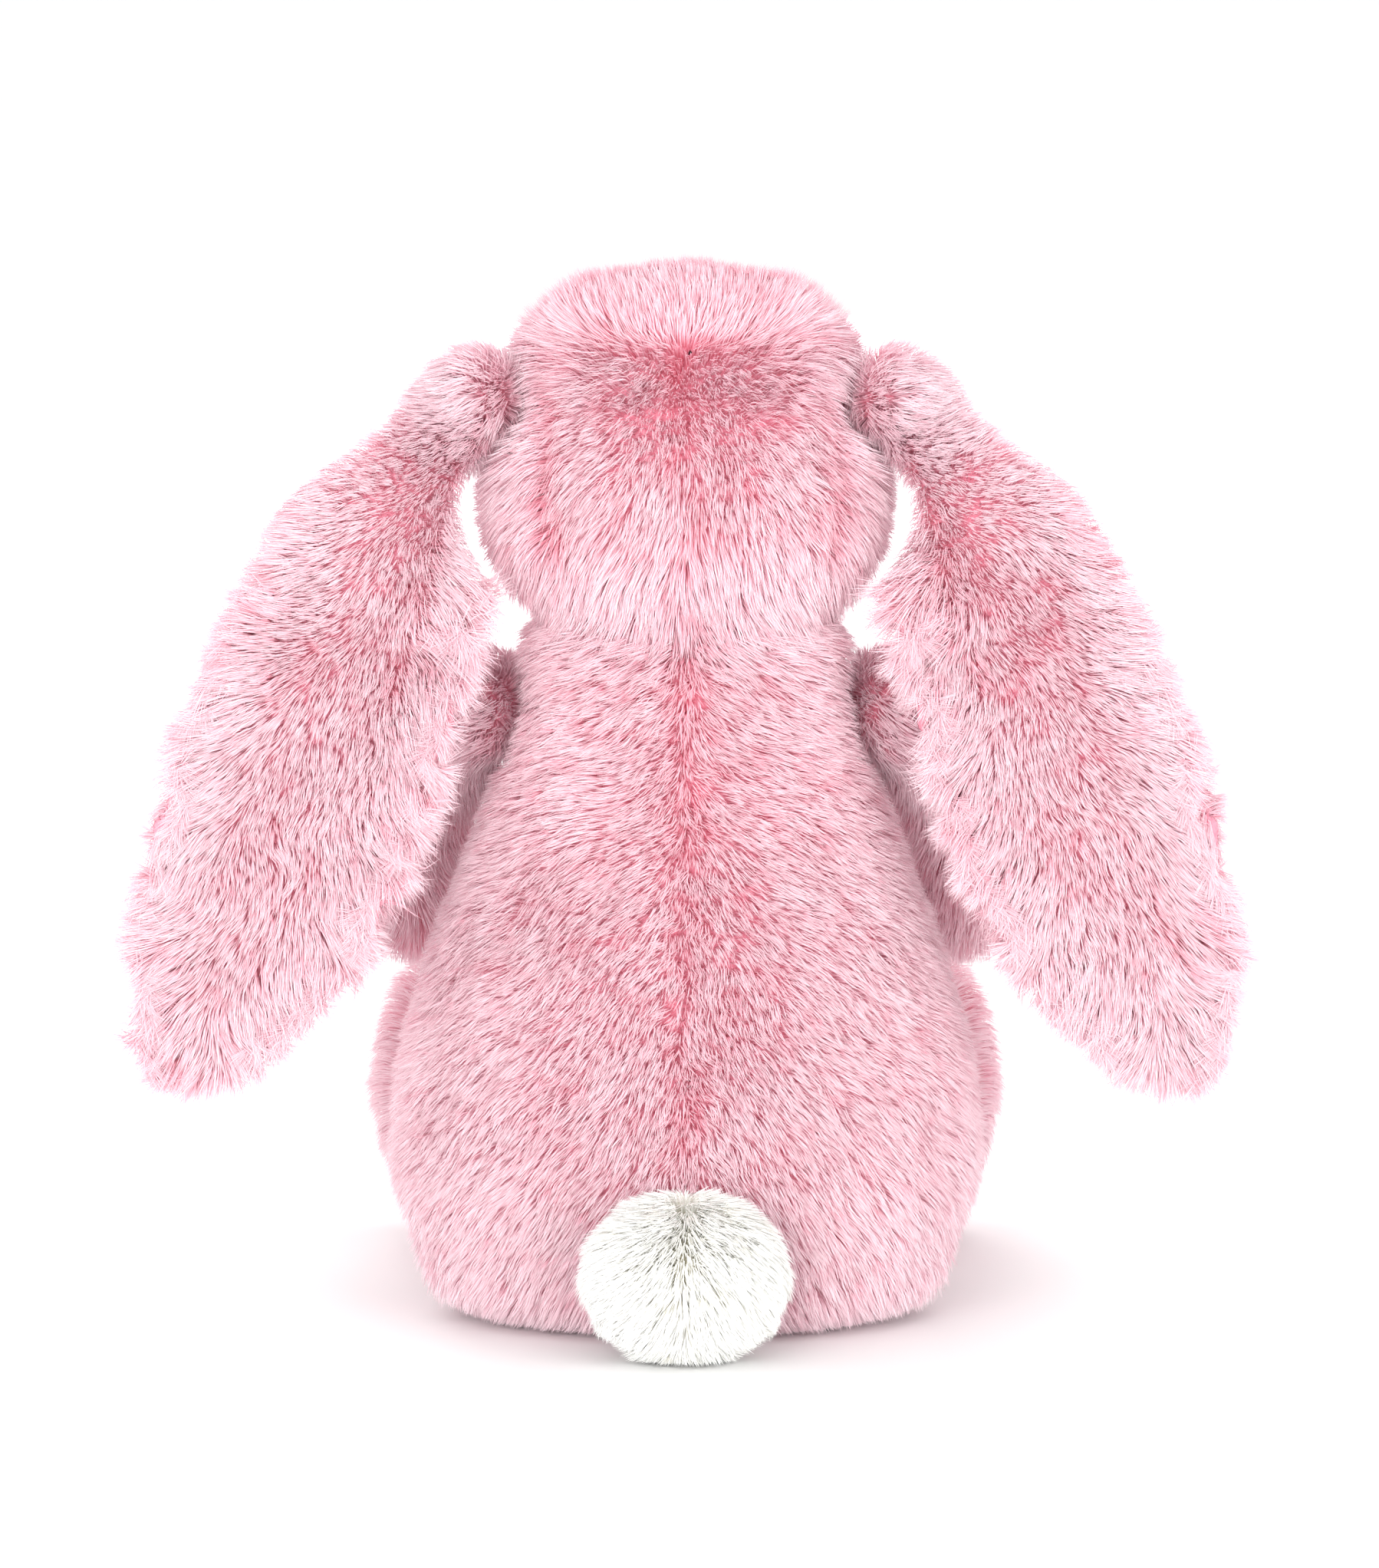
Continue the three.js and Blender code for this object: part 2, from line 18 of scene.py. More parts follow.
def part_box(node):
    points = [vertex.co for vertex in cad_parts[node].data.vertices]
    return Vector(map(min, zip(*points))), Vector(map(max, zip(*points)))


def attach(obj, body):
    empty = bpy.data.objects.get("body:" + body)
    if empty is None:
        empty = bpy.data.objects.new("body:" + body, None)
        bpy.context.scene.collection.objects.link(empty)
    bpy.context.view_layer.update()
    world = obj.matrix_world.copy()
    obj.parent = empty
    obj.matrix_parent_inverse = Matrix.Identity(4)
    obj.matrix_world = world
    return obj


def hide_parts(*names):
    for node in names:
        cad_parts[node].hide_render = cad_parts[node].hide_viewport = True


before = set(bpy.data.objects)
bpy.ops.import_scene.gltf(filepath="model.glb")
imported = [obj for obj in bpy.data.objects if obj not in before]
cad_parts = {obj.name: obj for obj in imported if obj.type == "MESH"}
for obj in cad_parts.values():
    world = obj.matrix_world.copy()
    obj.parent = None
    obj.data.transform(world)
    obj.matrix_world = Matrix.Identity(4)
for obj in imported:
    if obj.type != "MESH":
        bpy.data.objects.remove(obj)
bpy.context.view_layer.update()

MM = 0.001

# ---------------------------------------------------------------- places on the toy

NOSE = np.array([0.0, -50.0, 164.0])
NOSE_SIZE = np.array([5.4, 2.4, 3.8])
EYE_X, EYE_Z = 19.0, 170.0
FACE_Y, FACE_DEPTH = -2.0, 38.0
EYE_RADIUS, EYE_HEIGHT = 5.0, 4.2
TAIL = np.array([0.0, 57.0, 16.6])
FOOT = np.array([44.0, -101.0, 30.5])
MOUTH_TOP, MOUTH_DROP, MOUTH_SMILE = 159.5, 4.5, 5.0

# The middle lines of the left ear, arm and leg, from where each is sewn on to its tip.
EAR_LINE = np.array([
    [40, 5, 183.5], [53, 9.5, 171], [60, 14.5, 156.5], [63.5, 18.5, 140.5], [70.5, 21.5, 123.5],
    [77.5, 23, 104.5], [84.5, 23, 84], [93.5, 21.5, 66.5], [99.5, 18.5, 44],
])
ARM_LINE = np.array([
    [36.5, 1, 127], [47, -14, 113], [52.5, -25, 101], [55, -36, 87], [55.5, -45, 70], [55.5, -47, 54],
])
LEG_LINE = np.array([[28.5, -29, 23], [36, -62, 20], [41, -86, 20], [43.5, -112, 20.5]])

# Lines where the pile parts, seen from behind as (x, z): the darts of the head and the crease of each ear.
HEAD_DARTS = [[(27, 186), (28, 170), (27, 155)], [(-29, 184), (-30, 168), (-29, 156)]]
EAR_CREASE = [(34, 185), (46, 164), (50, 155), (56, 131)]

# ---------------------------------------------------------------- numbers in arrays


def unit(v):
    """Vectors at length 1."""
    return v / np.maximum(np.linalg.norm(v, axis=-1, keepdims=True), 1e-9)


def smooth(low, high, x):
    """0 at low and beyond, 1 at high and beyond, and a smooth rise between; low may be the larger."""
    t = np.clip((x - low) / (high - low), 0, 1)
    return t * t * (3 - 2 * t)


def tangent(v, normal):
    """The part of v that lies in the surface, at length 1."""
    return unit(v - (v * normal).sum(-1, keepdims=True) * normal)


def wavy(points, size, seed):
    """Smooth noise between about -1 and 1 that changes over size millimetres."""
    rng = np.random.default_rng(seed)
    total = np.zeros(len(points))
    for octave in range(3):
        for _ in range(4):
            wave = unit(rng.normal(size=3)) * 2 * math.pi / (size * 1.7 / 1.9**octave)
            total += np.sin(points @ wave + rng.uniform(0, 2 * math.pi)) / 1.7**octave
    return total / 3.6


def line_direction(points, line):
    """The direction of a line of points where it passes nearest to each point."""
    best = np.full(len(points), 1e9)
    way = np.zeros_like(points)
    for a, b in zip(line[:-1], line[1:]):
        d = b - a
        t = np.clip(((points - a) @ d) / (d @ d), 0, 1)
        far = np.linalg.norm(points - a - t[:, None] * d, axis=1)
        closer = far < best
        best[closer] = far[closer]
        way[closer] = d / np.linalg.norm(d)
    return way


# ---------------------------------------------------------------- meshes


def new_object(name, mesh, material=None):
    """An object in the scene, with its one material."""
    ob = bpy.data.objects.new(name, mesh)
    bpy.context.scene.collection.objects.link(ob)
    if material is not None:
        mesh.materials.append(material)
    return ob


def put_points(mesh, points):
    mesh.vertices.foreach_set("co", (points * MM).astype(np.float32).ravel())


def mesh_from(name, points, faces):
    """A mesh from points in millimetres and rows of equal faces."""
    mesh = bpy.data.meshes.new(name)
    sides = faces.shape[1]
    mesh.vertices.add(len(points))
    put_points(mesh, points)
    mesh.loops.add(faces.size)
    mesh.loops.foreach_set("vertex_index", faces.astype(np.int32).ravel())
    mesh.polygons.add(len(faces))
    mesh.polygons.foreach_set("loop_start", np.arange(0, faces.size, sides, dtype=np.int32))
    mesh.update(calc_edges=True)
    mesh.shade_smooth()
    return mesh


def points_of(mesh):
    flat = np.empty(len(mesh.vertices) * 3, np.float32)
    mesh.vertices.foreach_get("co", flat)
    return flat.reshape(-1, 3).astype(float) / MM


def triangles_of(mesh):
    mesh.calc_loop_triangles()
    flat = np.empty(len(mesh.loop_triangles) * 3, np.int32)
    mesh.loop_triangles.foreach_get("vertices", flat)
    return flat.reshape(-1, 3)


def edges_of(mesh):
    flat = np.empty(len(mesh.edges) * 2, np.int32)
    mesh.edges.foreach_get("vertices", flat)
    return flat.reshape(-1, 2)


def normals_of(points, triangles):
    across = np.cross(points[triangles[:, 1]] - points[triangles[:, 0]],
                      points[triangles[:, 2]] - points[triangles[:, 0]])
    total = np.zeros_like(points)
    for corner in range(3):
        np.add.at(total, triangles[:, corner], across)
    return unit(total)


def relaxed(points, edges, times, amount):
    """The points moved towards the middle of their neighbours."""
    count = np.bincount(edges.ravel(), minlength=len(points))[:, None]
    for _ in range(times):
        total = np.zeros_like(points)
        np.add.at(total, edges[:, 0], points[edges[:, 1]])
        np.add.at(total, edges[:, 1], points[edges[:, 0]])
        points = points + amount * (total / np.maximum(count, 1) - points)
    return points


def evened(points, edges, times):
    """Smoothed without shrinking."""
    for _ in range(times):
        points = relaxed(points, edges, 1, 0.5)
        points = relaxed(points, edges, 1, -0.51)
    return points


def joined_nodes(nodes):
    """One mesh of several CAD solids."""
    bm = bmesh.new()
    for node in nodes:
        bm.from_mesh(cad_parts[node].data)
    mesh = bpy.data.meshes.new("joined")
    bm.to_mesh(mesh)
    bm.free()
    return mesh


def modified(mesh, kind, **settings):
    """A new mesh: this one after one modifier."""
    ob = new_object("working", mesh)
    modifier = ob.modifiers.new("m", kind)
    for key, value in settings.items():
        setattr(modifier, key, value)
    graph = bpy.context.evaluated_depsgraph_get()
    made = bpy.data.meshes.new_from_object(ob.evaluated_get(graph))
    bpy.data.objects.remove(ob)
    bpy.data.meshes.remove(mesh)
    return made


def only_outside(mesh):
    """Keeps the largest connected shell."""
    bm = bmesh.new()
    bm.from_mesh(mesh)
    left, shells = set(bm.verts), []
    while left:
        start = left.pop()
        shell, front = {start}, [start]
        while front:
            vert = front.pop()
            for edge in vert.link_edges:
                other = edge.other_vert(vert)
                if other in left:
                    left.remove(other)
                    shell.add(other)
                    front.append(other)
        shells.append(shell)
    keep = max(shells, key=len)
    bmesh.ops.delete(bm, geom=[v for v in bm.verts if v not in keep], context="VERTS")
    bm.to_mesh(mesh)
    bm.free()
    return mesh


def bvh_of(nodes):
    """The surface of several CAD solids, for rays and distances."""
    mesh = joined_nodes(nodes)
    tree = BVHTree.FromPolygons([Vector(p) for p in points_of(mesh)], triangles_of(mesh).tolist())
    bpy.data.meshes.remove(mesh)
    return tree


def distances(points, tree, furthest):
    """How far each point is from a surface, up to furthest."""
    found = (tree.find_nearest(Vector(p), furthest) for p in points)
    return np.array([furthest if f[0] is None else f[3] for f in found])


# ---------------------------------------------------------------- stuffed forms

DEEPEST = 9.0  # that the backing lies inside the space of its part
HELD_WIDTH = 3.0  # of the strip along a seam that doesn't swell
SINK_STEPS = 10
PUFF_FRAMES = 20


def even(depth):
    """A backing that lies at one depth everywhere."""
    return lambda points, normals: np.full(len(points), depth)


def sunk(points, edges, triangles, depth):
    """The points moved in by depth in small smoothed steps, so that thin rims don't fold."""
    total = depth(points, normals_of(points, triangles))
    for _ in range(SINK_STEPS):
        normal = normals_of(points, triangles)
        points = relaxed(points - normal * (total / SINK_STEPS)[:, None], edges, 1, 0.05)
    return points


def puffed(mesh, start, pinned, cap):
    """The cloth blown up by its filling for some frames, with its seams held and its swelling capped."""
    ob = new_object("cloth", mesh)
    group = ob.vertex_groups.new(name="held")
    for index in np.flatnonzero(pinned > 0.02):
        group.add([int(index)], float(min(1, pinned[index])), "REPLACE")
    cloth = ob.modifiers.new("cloth", "CLOTH")
    cloth.settings.quality = 5
    cloth.settings.mass = 0.15
    cloth.settings.tension_stiffness = 12
    cloth.settings.compression_stiffness = 12
    cloth.settings.shear_stiffness = 5
    cloth.settings.bending_stiffness = 0.6
    cloth.settings.use_pressure = True
    cloth.settings.uniform_pressure_force = 4
    cloth.settings.vertex_group_mass = "held"
    cloth.settings.effector_weights.gravity = 0
    cloth.point_cache.frame_start = 1
    cloth.point_cache.frame_end = PUFF_FRAMES
    scene = bpy.context.scene
    for number in range(1, PUFF_FRAMES + 1):
        scene.frame_set(number)
    graph = bpy.context.evaluated_depsgraph_get()
    after = points_of(ob.evaluated_get(graph).data)
    scene.frame_set(1)
    bpy.data.objects.remove(ob)
    move = after - start
    far = np.linalg.norm(move, axis=1, keepdims=True)
    return start + move * np.minimum(1, cap / np.maximum(far, 1e-6))


class Form:
    """The backing cloth of one stuffed part, and the pile on it.

    For each point of the backing, reach is how far out the part's CAD surface lies and outer is the place
    there, seam is the distance to the nearest seam, away leads from that seam, pair names the panels that
    meet at it, and touch is the distance to the parts around. The pile has comb, the way it lies; stand, 1
    where it stands on end and below 0 where it lies flat; shade, a shift in its colour that holds the painted
    light and shade, paler above 0; above, the height of its tips over the CAD surface; tangle, its disorder;
    and thick, its density.
    """

    def __init__(self, panels, inside, voxel, depth, cap, others, beyond=()):
        """depth gives how deep the backing lies; beyond are panels of the next part, which close this one."""
        self.panels = [*panels, *beyond]
        self.own = len(panels)
        self.make_backing([*self.panels, *inside], voxel, depth, cap)
        self.normals = normals_of(self.points, self.triangles)
        self.reach = relaxed(self.ray_depth(bvh_of(panels))[:, None], self.edges, 4, 0.5)[:, 0]
        self.outer = self.points + self.normals * self.reach[:, None]
        self.seam, self.away, self.pair = self.seam_distance(self.outer, self.triangles)
        self.touch = distances(self.outer, bvh_of(others), 12.0)
        self.comb = np.zeros_like(self.points)
        self.stand = np.zeros(len(self.points))
        self.shade = np.zeros(len(self.points))
        self.above = np.full(len(self.points), PILE_ABOVE)
        self.tangle = np.zeros(len(self.points))
        self.thick = np.ones(len(self.points))

    def make_backing(self, solids, voxel, depth, cap):
        """The solids as one shell, sunk under their surface and blown up by the filling."""
        mesh = modified(joined_nodes(solids), "REMESH", mode="VOXEL", voxel_size=voxel * MM)
        mesh = only_outside(mesh)
        edges = edges_of(mesh)
        triangles = triangles_of(mesh)
        outer = evened(points_of(mesh), edges, 12)
        base = sunk(outer, edges, triangles, depth)
        put_points(mesh, base)
        held = np.exp(-((self.seam_distance(outer, triangles)[0] / HELD_WIDTH) ** 2))
        base = puffed(mesh.copy(), base, held, cap)
        put_points(mesh, base)
        mesh.update()
        mesh = modified(mesh, "SUBSURF", levels=1)
        self.edges = edges_of(mesh)
        self.triangles = triangles_of(mesh)
        self.points = evened(points_of(mesh), self.edges, 2)
        bpy.data.meshes.remove(mesh)

    def ray_depth(self, surface):
        """How far each point of the backing lies inside the outer face of the part's panels.

        A ray that slips out between two panels takes the depth of the nearest point whose ray did not.
        """
        depth = np.full(len(self.points), np.nan)
        for place, (point, normal) in enumerate(zip(self.points, self.normals)):
            point, normal = Vector(point), Vector(normal)
            passed = 0.0
            while True:
                hit = surface.ray_cast(point + normal * passed, normal, DEEPEST - passed)[3]
                if hit is None:
                    break
                passed += hit + 0.02
                depth[place] = passed
        found = np.flatnonzero(depth > 0)
        tree = KDTree(len(found))
        for place in found:
            tree.insert(self.points[place], place)
        tree.balance()
        for place in np.flatnonzero(np.isnan(depth)):
            depth[place] = depth[tree.find(self.points[place])[1]]
        return np.maximum(depth, 1.0)

    def seam_distance(self, points, triangles):
        """Each point's distance to the nearest seam, the direction away from it and the panels that meet."""
        near = np.stack([distances(points, bvh_of([panel]), 40.0) for panel in self.panels])
        panel = near.argmin(0)
        at_seam = np.zeros(len(points), bool)
        for a, b in ((0, 1), (1, 2), (2, 0)):
            differs = panel[triangles[:, a]] != panel[triangles[:, b]]
            at_seam[triangles[differs][:, a]] = True
            at_seam[triangles[differs][:, b]] = True
        self.panel = panel
        index = np.flatnonzero(at_seam)
        tree = KDTree(max(len(index), 1))
        for place, point in enumerate(points[index]):
            tree.insert(point, place)
        tree.balance()
        found = [tree.find(p) for p in points]
        far = np.array([f[2] for f in found])
        foot = np.array([f[0] for f in found])
        order = np.sort(np.argsort(near, axis=0)[:2], axis=0)
        pair = (order[0] * len(self.panels) + order[1])[index][np.array([f[1] for f in found])]
        return far, unit(points - foot), pair

    def near_seam(self, first, second, width):
        """1 on the seam between two panels, falling to 0 over width."""
        a, b = sorted((self.panels.index(first), self.panels.index(second)))
        return np.where(self.pair == a * len(self.panels) + b, np.exp(-((self.seam / width) ** 2)), 0)

    def part_at(self, line, mask, width, strength):
        """Parts the pile along a line seen from behind and sinks it there, with painted shade along the line.
        """
        flat = self.outer[:, [0, 2]]
        best = np.full(len(flat), 1e9)
        away = np.zeros((len(flat), 3))
        for a, b in zip(line[:-1], line[1:]):
            a, b = np.array(a, float), np.array(b, float)
            d = b - a
            t = np.clip(((flat - a) @ d) / (d @ d), 0, 1)
            off = flat - a - t[:, None] * d
            far = np.linalg.norm(off, axis=1)
            closer = far < best
            best[closer] = far[closer]
            away[closer] = np.stack([off[closer][:, 0], 0 * far[closer], off[closer][:, 1]], 1)
        weight = np.exp(-((best / width) ** 2)) * mask * strength
        self.comb = tangent(self.comb + 1.4 * weight[:, None] * unit(away), self.normals)
        # Painted shade along the parting.
        self.shade -= 0.4 * weight
        self.tangle += 0.5 * weight
        self.points -= self.normals * (1.2 * weight)[:, None]

    def sew(self, first, second, width, strength):
        """Draws the seam in and parts the pile along it, with painted shade darkening the pile there."""
        weight = self.near_seam(first, second, width) * strength
        self.comb = tangent(self.comb + 1.6 * weight[:, None] * self.away, self.normals)
        # Painted shade along the seam.
        self.shade -= 0.3 * weight
        self.points -= self.normals * (1.3 * weight)[:, None]

    def fringe(self, width, strength):
        """Lays the pile outwards over the seams at a rim."""
        weight = np.exp(-((self.seam / width) ** 2)) * strength
        self.comb = tangent(self.comb - weight[:, None] * self.away, self.normals)

    def sew_all(self, width, strength):
        """Sews every pair of panels that meet, with painted shade along each seam."""
        for place, first in enumerate(self.panels):
            for second in self.panels[place + 1:]:
                self.sew(first, second, width, strength)


# ---------------------------------------------------------------- pile

PILE_ABOVE = 1.8  # how far most tips rise above the space that the part fills
PILE_SUNK = 0.6  # how far a root lies inside the backing
MOST_STRANDS = 66000  # in one piece
FLOOR_CLEARANCE = 0.25  # of the lowest strands, and a little less for their edges
EDGE_CLEARANCE = 0.15

# A strand is a tapered blade: a root row, a middle row and a point, with a straight part between rows.
ROWS = 3
ROW_AT = np.array([0, 0.5, 1.0])
ROW_SHARE = np.array([0.6, 0.4])  # of the strand's length, in each of its two parts
ROW_WIDTH = np.array([1.0, 0.8])
LYING = np.radians([78, 42])  # how steeply each part of a combed strand rises
STANDING = np.radians([88, 80])  # and of one that stands on end
STRAND_FACES = np.array([[0, 1, 3], [0, 3, 2], [2, 3, 4]])
STRAND_POINTS = 5

TUFT_AREA = 3.2  # of backing, in square millimetres, whose strands lean together
TUFT_TURN, TUFT_LIFT, TUFT_TONE = 0.11, 0.04, 0.03  # spread from tuft to tuft, in radians and tone
STRAND_TURN, STRAND_LIFT, STRAND_TONE = 0.10, 0.05, 0.04  # and from strand to strand
STRAND_ROLL = 0.75  # spread of the angle that a blade turns about its own length
MIDDLE_TONE = 0.52


def turned_about(v, axis, angle):
    """The vectors turned about their axes by their angles."""
    c, s = np.cos(angle)[:, None], np.sin(angle)[:, None]
    return v * c + np.cross(axis, v) * s + axis * (v * axis).sum(1, keepdims=True) * (1 - c)


def scattered(form, panel, density, rng):
    """Random places on one panel: a function that reads a form's values there, their number, the area."""
    mine = (form.panel[form.triangles] == panel).sum(1) >= 2
    triangles = form.triangles[mine]
    a, b, c = (form.points[triangles[:, k]] for k in range(3))
    area = np.linalg.norm(np.cross(b - a, c - a), axis=1) / 2
    free = smooth(0.5, 1.8, form.touch[triangles].mean(1))
    area = area * (0.3 + 0.7 * free) * form.thick[triangles].mean(1)
    count = min(MOST_STRANDS, int(area.sum() * density))
    pick = rng.choice(len(triangles), count, p=area / area.sum())
    r, s = np.sqrt(rng.random(count)), rng.random(count)
    share = np.stack([1 - r, r * (1 - s), r * s], 1)

    def here(values):
        values = values[triangles[pick]]
        return (values * (share[..., None] if values.ndim == 3 else share)).sum(1)

    return here, count, area.sum()


def tufts(root, area, rng):
    """The strand that leads each tuft, and the tuft that each strand belongs to."""
    heads = rng.choice(len(root), max(1, int(area / TUFT_AREA)), replace=False)
    tree = KDTree(len(heads))
    for place, point in enumerate(root[heads]):
        tree.insert(point, place)
    tree.balance()
    return heads, np.array([tree.find(p)[1] for p in root])


def strand_rows(root, normal, comb, stand, lift, step):
    """Places up each strand, which rises from its root and bends over the way it is combed."""
    spots = np.empty((len(root), ROWS, 3))
    spots[:, 0] = root - normal * PILE_SUNK
    for row in range(1, ROWS):
        slope = LYING[row - 1] * (1 - stand) + STANDING[row - 1] * stand + lift * row
        ahead = normal * np.sin(slope)[:, None] + comb * np.cos(slope)[:, None]
        spots[:, row] = spots[:, row - 1] + ahead * (step * ROW_SHARE[row - 1])[:, None]
    return spots


def gather(spots, towards, pull):
    """Bends the strands of a tuft towards the one that leads it, most at the tip."""
    for row in range(1, ROWS):
        spots[:, row] += (towards[:, row] - spots[:, row]) * pull * (row / (ROWS - 1)) ** 1.5


def strand_mesh(name, spots, across, wide, tone):
    """The blades as one mesh. Its map holds each strand's tone across and the height along it upwards."""
    count = len(spots)
    made = np.empty((count, STRAND_POINTS, 3))
    for row in range(ROWS - 1):
        half = across * (wide * ROW_WIDTH[row] / 2)[:, None]
        made[:, 2 * row] = spots[:, row] - half
        made[:, 2 * row + 1] = spots[:, row] + half
    made[:, -1] = spots[:, -1]
    made[..., 2] = np.maximum(made[..., 2], EDGE_CLEARANCE)
    faces = (STRAND_FACES[None] + STRAND_POINTS * np.arange(count)[:, None, None]).reshape(-1, 3)
    mesh = mesh_from(name, made.reshape(-1, 3), faces)
    up = np.array([0.02, 0.02, ROW_AT[1], ROW_AT[1], 0.98])
    corner = faces.reshape(-1)
    pairs = np.stack([tone[corner // STRAND_POINTS], up[corner % STRAND_POINTS]], 1).astype(np.float32)
    layer = mesh.uv_layers.new(name="OFBake")
    layer.data.foreach_set("uv", pairs.ravel())
    return mesh


def grown_pile(name, form, panel, width, density, pull, seed):
    """The strands on one panel, combed as the form says and gathered into tufts."""
    rng = np.random.default_rng(seed)
    here, count, area = scattered(form, panel, density, rng)
    root = here(form.points)
    normal = unit(here(form.normals))
    tangle = here(form.tangle)
    heads, tuft = tufts(root, area, rng)
    tuft_turn = rng.normal(0, TUFT_TURN, len(heads))
    tuft_lift = rng.normal(0, TUFT_LIFT, len(heads))
    tuft_tone = rng.normal(0, TUFT_TONE, len(heads))

    # The way it lies wanders in broad waves, then from tuft to tuft and strand to strand.
    loose = 1 + 2.2 * np.clip(tangle, 0, 1)
    turn = wavy(root, 17, seed) * 0.3 + tuft_turn[tuft] * loose + rng.normal(0, STRAND_TURN, count) * loose
    comb = turned_about(tangent(here(form.comb), normal), normal, turn)
    stand = np.clip(here(form.stand) + tangle * 0.3 * wavy(root, 5, seed + 1), -1, 1)
    lift = tuft_lift[tuft] + rng.normal(0, STRAND_LIFT, count) + 0.08 * wavy(root, 11, seed + 2)

    # The tips reach the pile's surface, which is lower where another part presses on it.
    rise = here(form.reach) + here(form.above) + PILE_SUNK
    rise *= 0.55 + 0.45 * smooth(0.3, 1.5, here(form.touch))
    steep = np.sin(LYING) @ ROW_SHARE * (1 - stand) + np.sin(STANDING) @ ROW_SHARE * stand
    step = rise / steep * rng.uniform(0.85, 1.06, count)
    spots = strand_rows(root, normal, comb, stand, lift, step)
    gather(spots, spots[heads[tuft]], pull)
    spots[:, 1:, 2] = np.maximum(spots[:, 1:, 2], FLOOR_CLEARANCE + rng.random((count, 1)) * 0.3)

    along = unit(spots[:, -1] - spots[:, 0])
    flat = unit(np.cross(normal, along))
    across = turned_about(flat, along, rng.normal(0, STRAND_ROLL, count))
    wide = width * rng.uniform(0.75, 1.25, count)
    flecks = smooth(0.3, 0.75, wavy(root, 4, seed + 4))
    # The tone takes the form's painted light and shade, and varies at random in flecks, waves and from tuft
    # to tuft and strand to strand.
    tone = MIDDLE_TONE + here(form.shade) + 0.05 * wavy(root, 26, seed + 3) - 0.2 * flecks
    tone = np.clip(tone + tuft_tone[tuft] + rng.normal(0, STRAND_TONE, count), 0.02, 0.98)
    return strand_mesh(name, spots, across, wide, tone)


# ---------------------------------------------------------------- materials


def shader(name, roughness, **sockets):
    """A new material with numbers set on its shader's sockets."""
    material = bpy.data.materials.new(name)
    material.use_nodes = True
    principled = material.node_tree.nodes["Principled BSDF"]
    principled.inputs["Roughness"].default_value = roughness
    for key, value in sockets.items():
        principled.inputs[key.replace("_", " ")].default_value = value
    return material, material.node_tree, principled


def link(tree, a, out, b, into):
    tree.links.new(a.outputs[out], b.inputs[into])


def ramp(tree, stops):
    """A colour ramp from (place, colour) pairs."""
    node = tree.nodes.new("ShaderNodeValToRGB")
    elements = node.color_ramp.elements
    while len(elements) < len(stops):
        elements.new(0.5)
    for element, (place, colour) in zip(elements, stops):
        element.position = place
        element.color = (*colour, 1)
    return node


def maths(tree, kind, *values):
    """One sum on numbers or sockets."""
    node = tree.nodes.new("ShaderNodeMath")
    node.operation = kind
    for place, value in enumerate(values):
        if isinstance(value, (int, float)):
            node.inputs[place].default_value = value
        else:
            tree.links.new(value, node.inputs[place])
    return node.outputs[0]


def pile_material(name, stops, sheen, tint):
    """Dark at the root and pale at the tip, shifted by each strand's own tone, which carries the painted
    light and shade.
    """
    material, tree, principled = shader(name, 0.85, Sheen_Weight=sheen, Sheen_Roughness=0.5)
    principled.inputs["Sheen Tint"].default_value = (*tint, 1)
    principled.inputs["Specular IOR Level"].default_value = 0.06
    place = tree.nodes.new("ShaderNodeUVMap")
    place.uv_map = "OFBake"
    split = tree.nodes.new("ShaderNodeSeparateXYZ")
    link(tree, place, 0, split, 0)
    tone = maths(tree, "MULTIPLY_ADD", split.outputs[0], 0.9, -0.45)
    level = maths(tree, "MULTIPLY_ADD", split.outputs[1], 0.72, 0.18)
    at = maths(tree, "ADD", tone, level)
    colours = ramp(tree, stops)
    tree.links.new(at, colours.inputs[0])
    link(tree, colours, 0, principled, "Base Color")
    return material


def cloth_material(name, dark, pale, scale, bump, roughness=0.9):
    """Knitted backing or woven cloth: crossing ribs with a mottled colour."""
    material, tree, principled = shader(name, roughness)
    place = tree.nodes.new("ShaderNodeTexCoord")
    knots = tree.nodes.new("ShaderNodeTexVoronoi")
    knots.inputs["Scale"].default_value = scale
    link(tree, place, "Object", knots, "Vector")
    patches = tree.nodes.new("ShaderNodeTexNoise")
    patches.inputs["Scale"].default_value = scale / 9
    patches.inputs["Detail"].default_value = 6
    link(tree, place, "Object", patches, "Vector")
    at = maths(tree, "MULTIPLY_ADD", knots.outputs["Distance"], 0.5, patches.outputs["Fac"])
    colours = ramp(tree, [(0.25, dark), (0.85, pale)])
    tree.links.new(at, colours.inputs[0])
    link(tree, colours, 0, principled, "Base Color")
    lumps = tree.nodes.new("ShaderNodeBump")
    lumps.inputs["Strength"].default_value = bump
    lumps.inputs["Distance"].default_value = 0.0004
    link(tree, knots, "Distance", lumps, "Height")
    link(tree, lumps, 0, principled, "Normal")
    return material


def moulded_material(name, dark, pale, roughness, coat, scale):
    """Moulded plastic: a slight flow pattern in the colour and a fine ripple in the gloss."""
    material, tree, principled = shader(name, roughness, Coat_Weight=coat, Coat_Roughness=0.05)
    place = tree.nodes.new("ShaderNodeTexCoord")
    flow = tree.nodes.new("ShaderNodeTexNoise")
    flow.inputs["Scale"].default_value = scale
    flow.inputs["Detail"].default_value = 4
    link(tree, place, "Object", flow, "Vector")
    colours = ramp(tree, [(0.3, dark), (0.75, pale)])
    link(tree, flow, "Fac", colours, 0)
    link(tree, colours, 0, principled, "Base Color")
    ripple = tree.nodes.new("ShaderNodeBump")
    ripple.inputs["Strength"].default_value = 0.05
    ripple.inputs["Distance"].default_value = 0.0002
    link(tree, flow, "Fac", ripple, "Height")
    link(tree, ripple, 0, principled, "Normal")
    return material


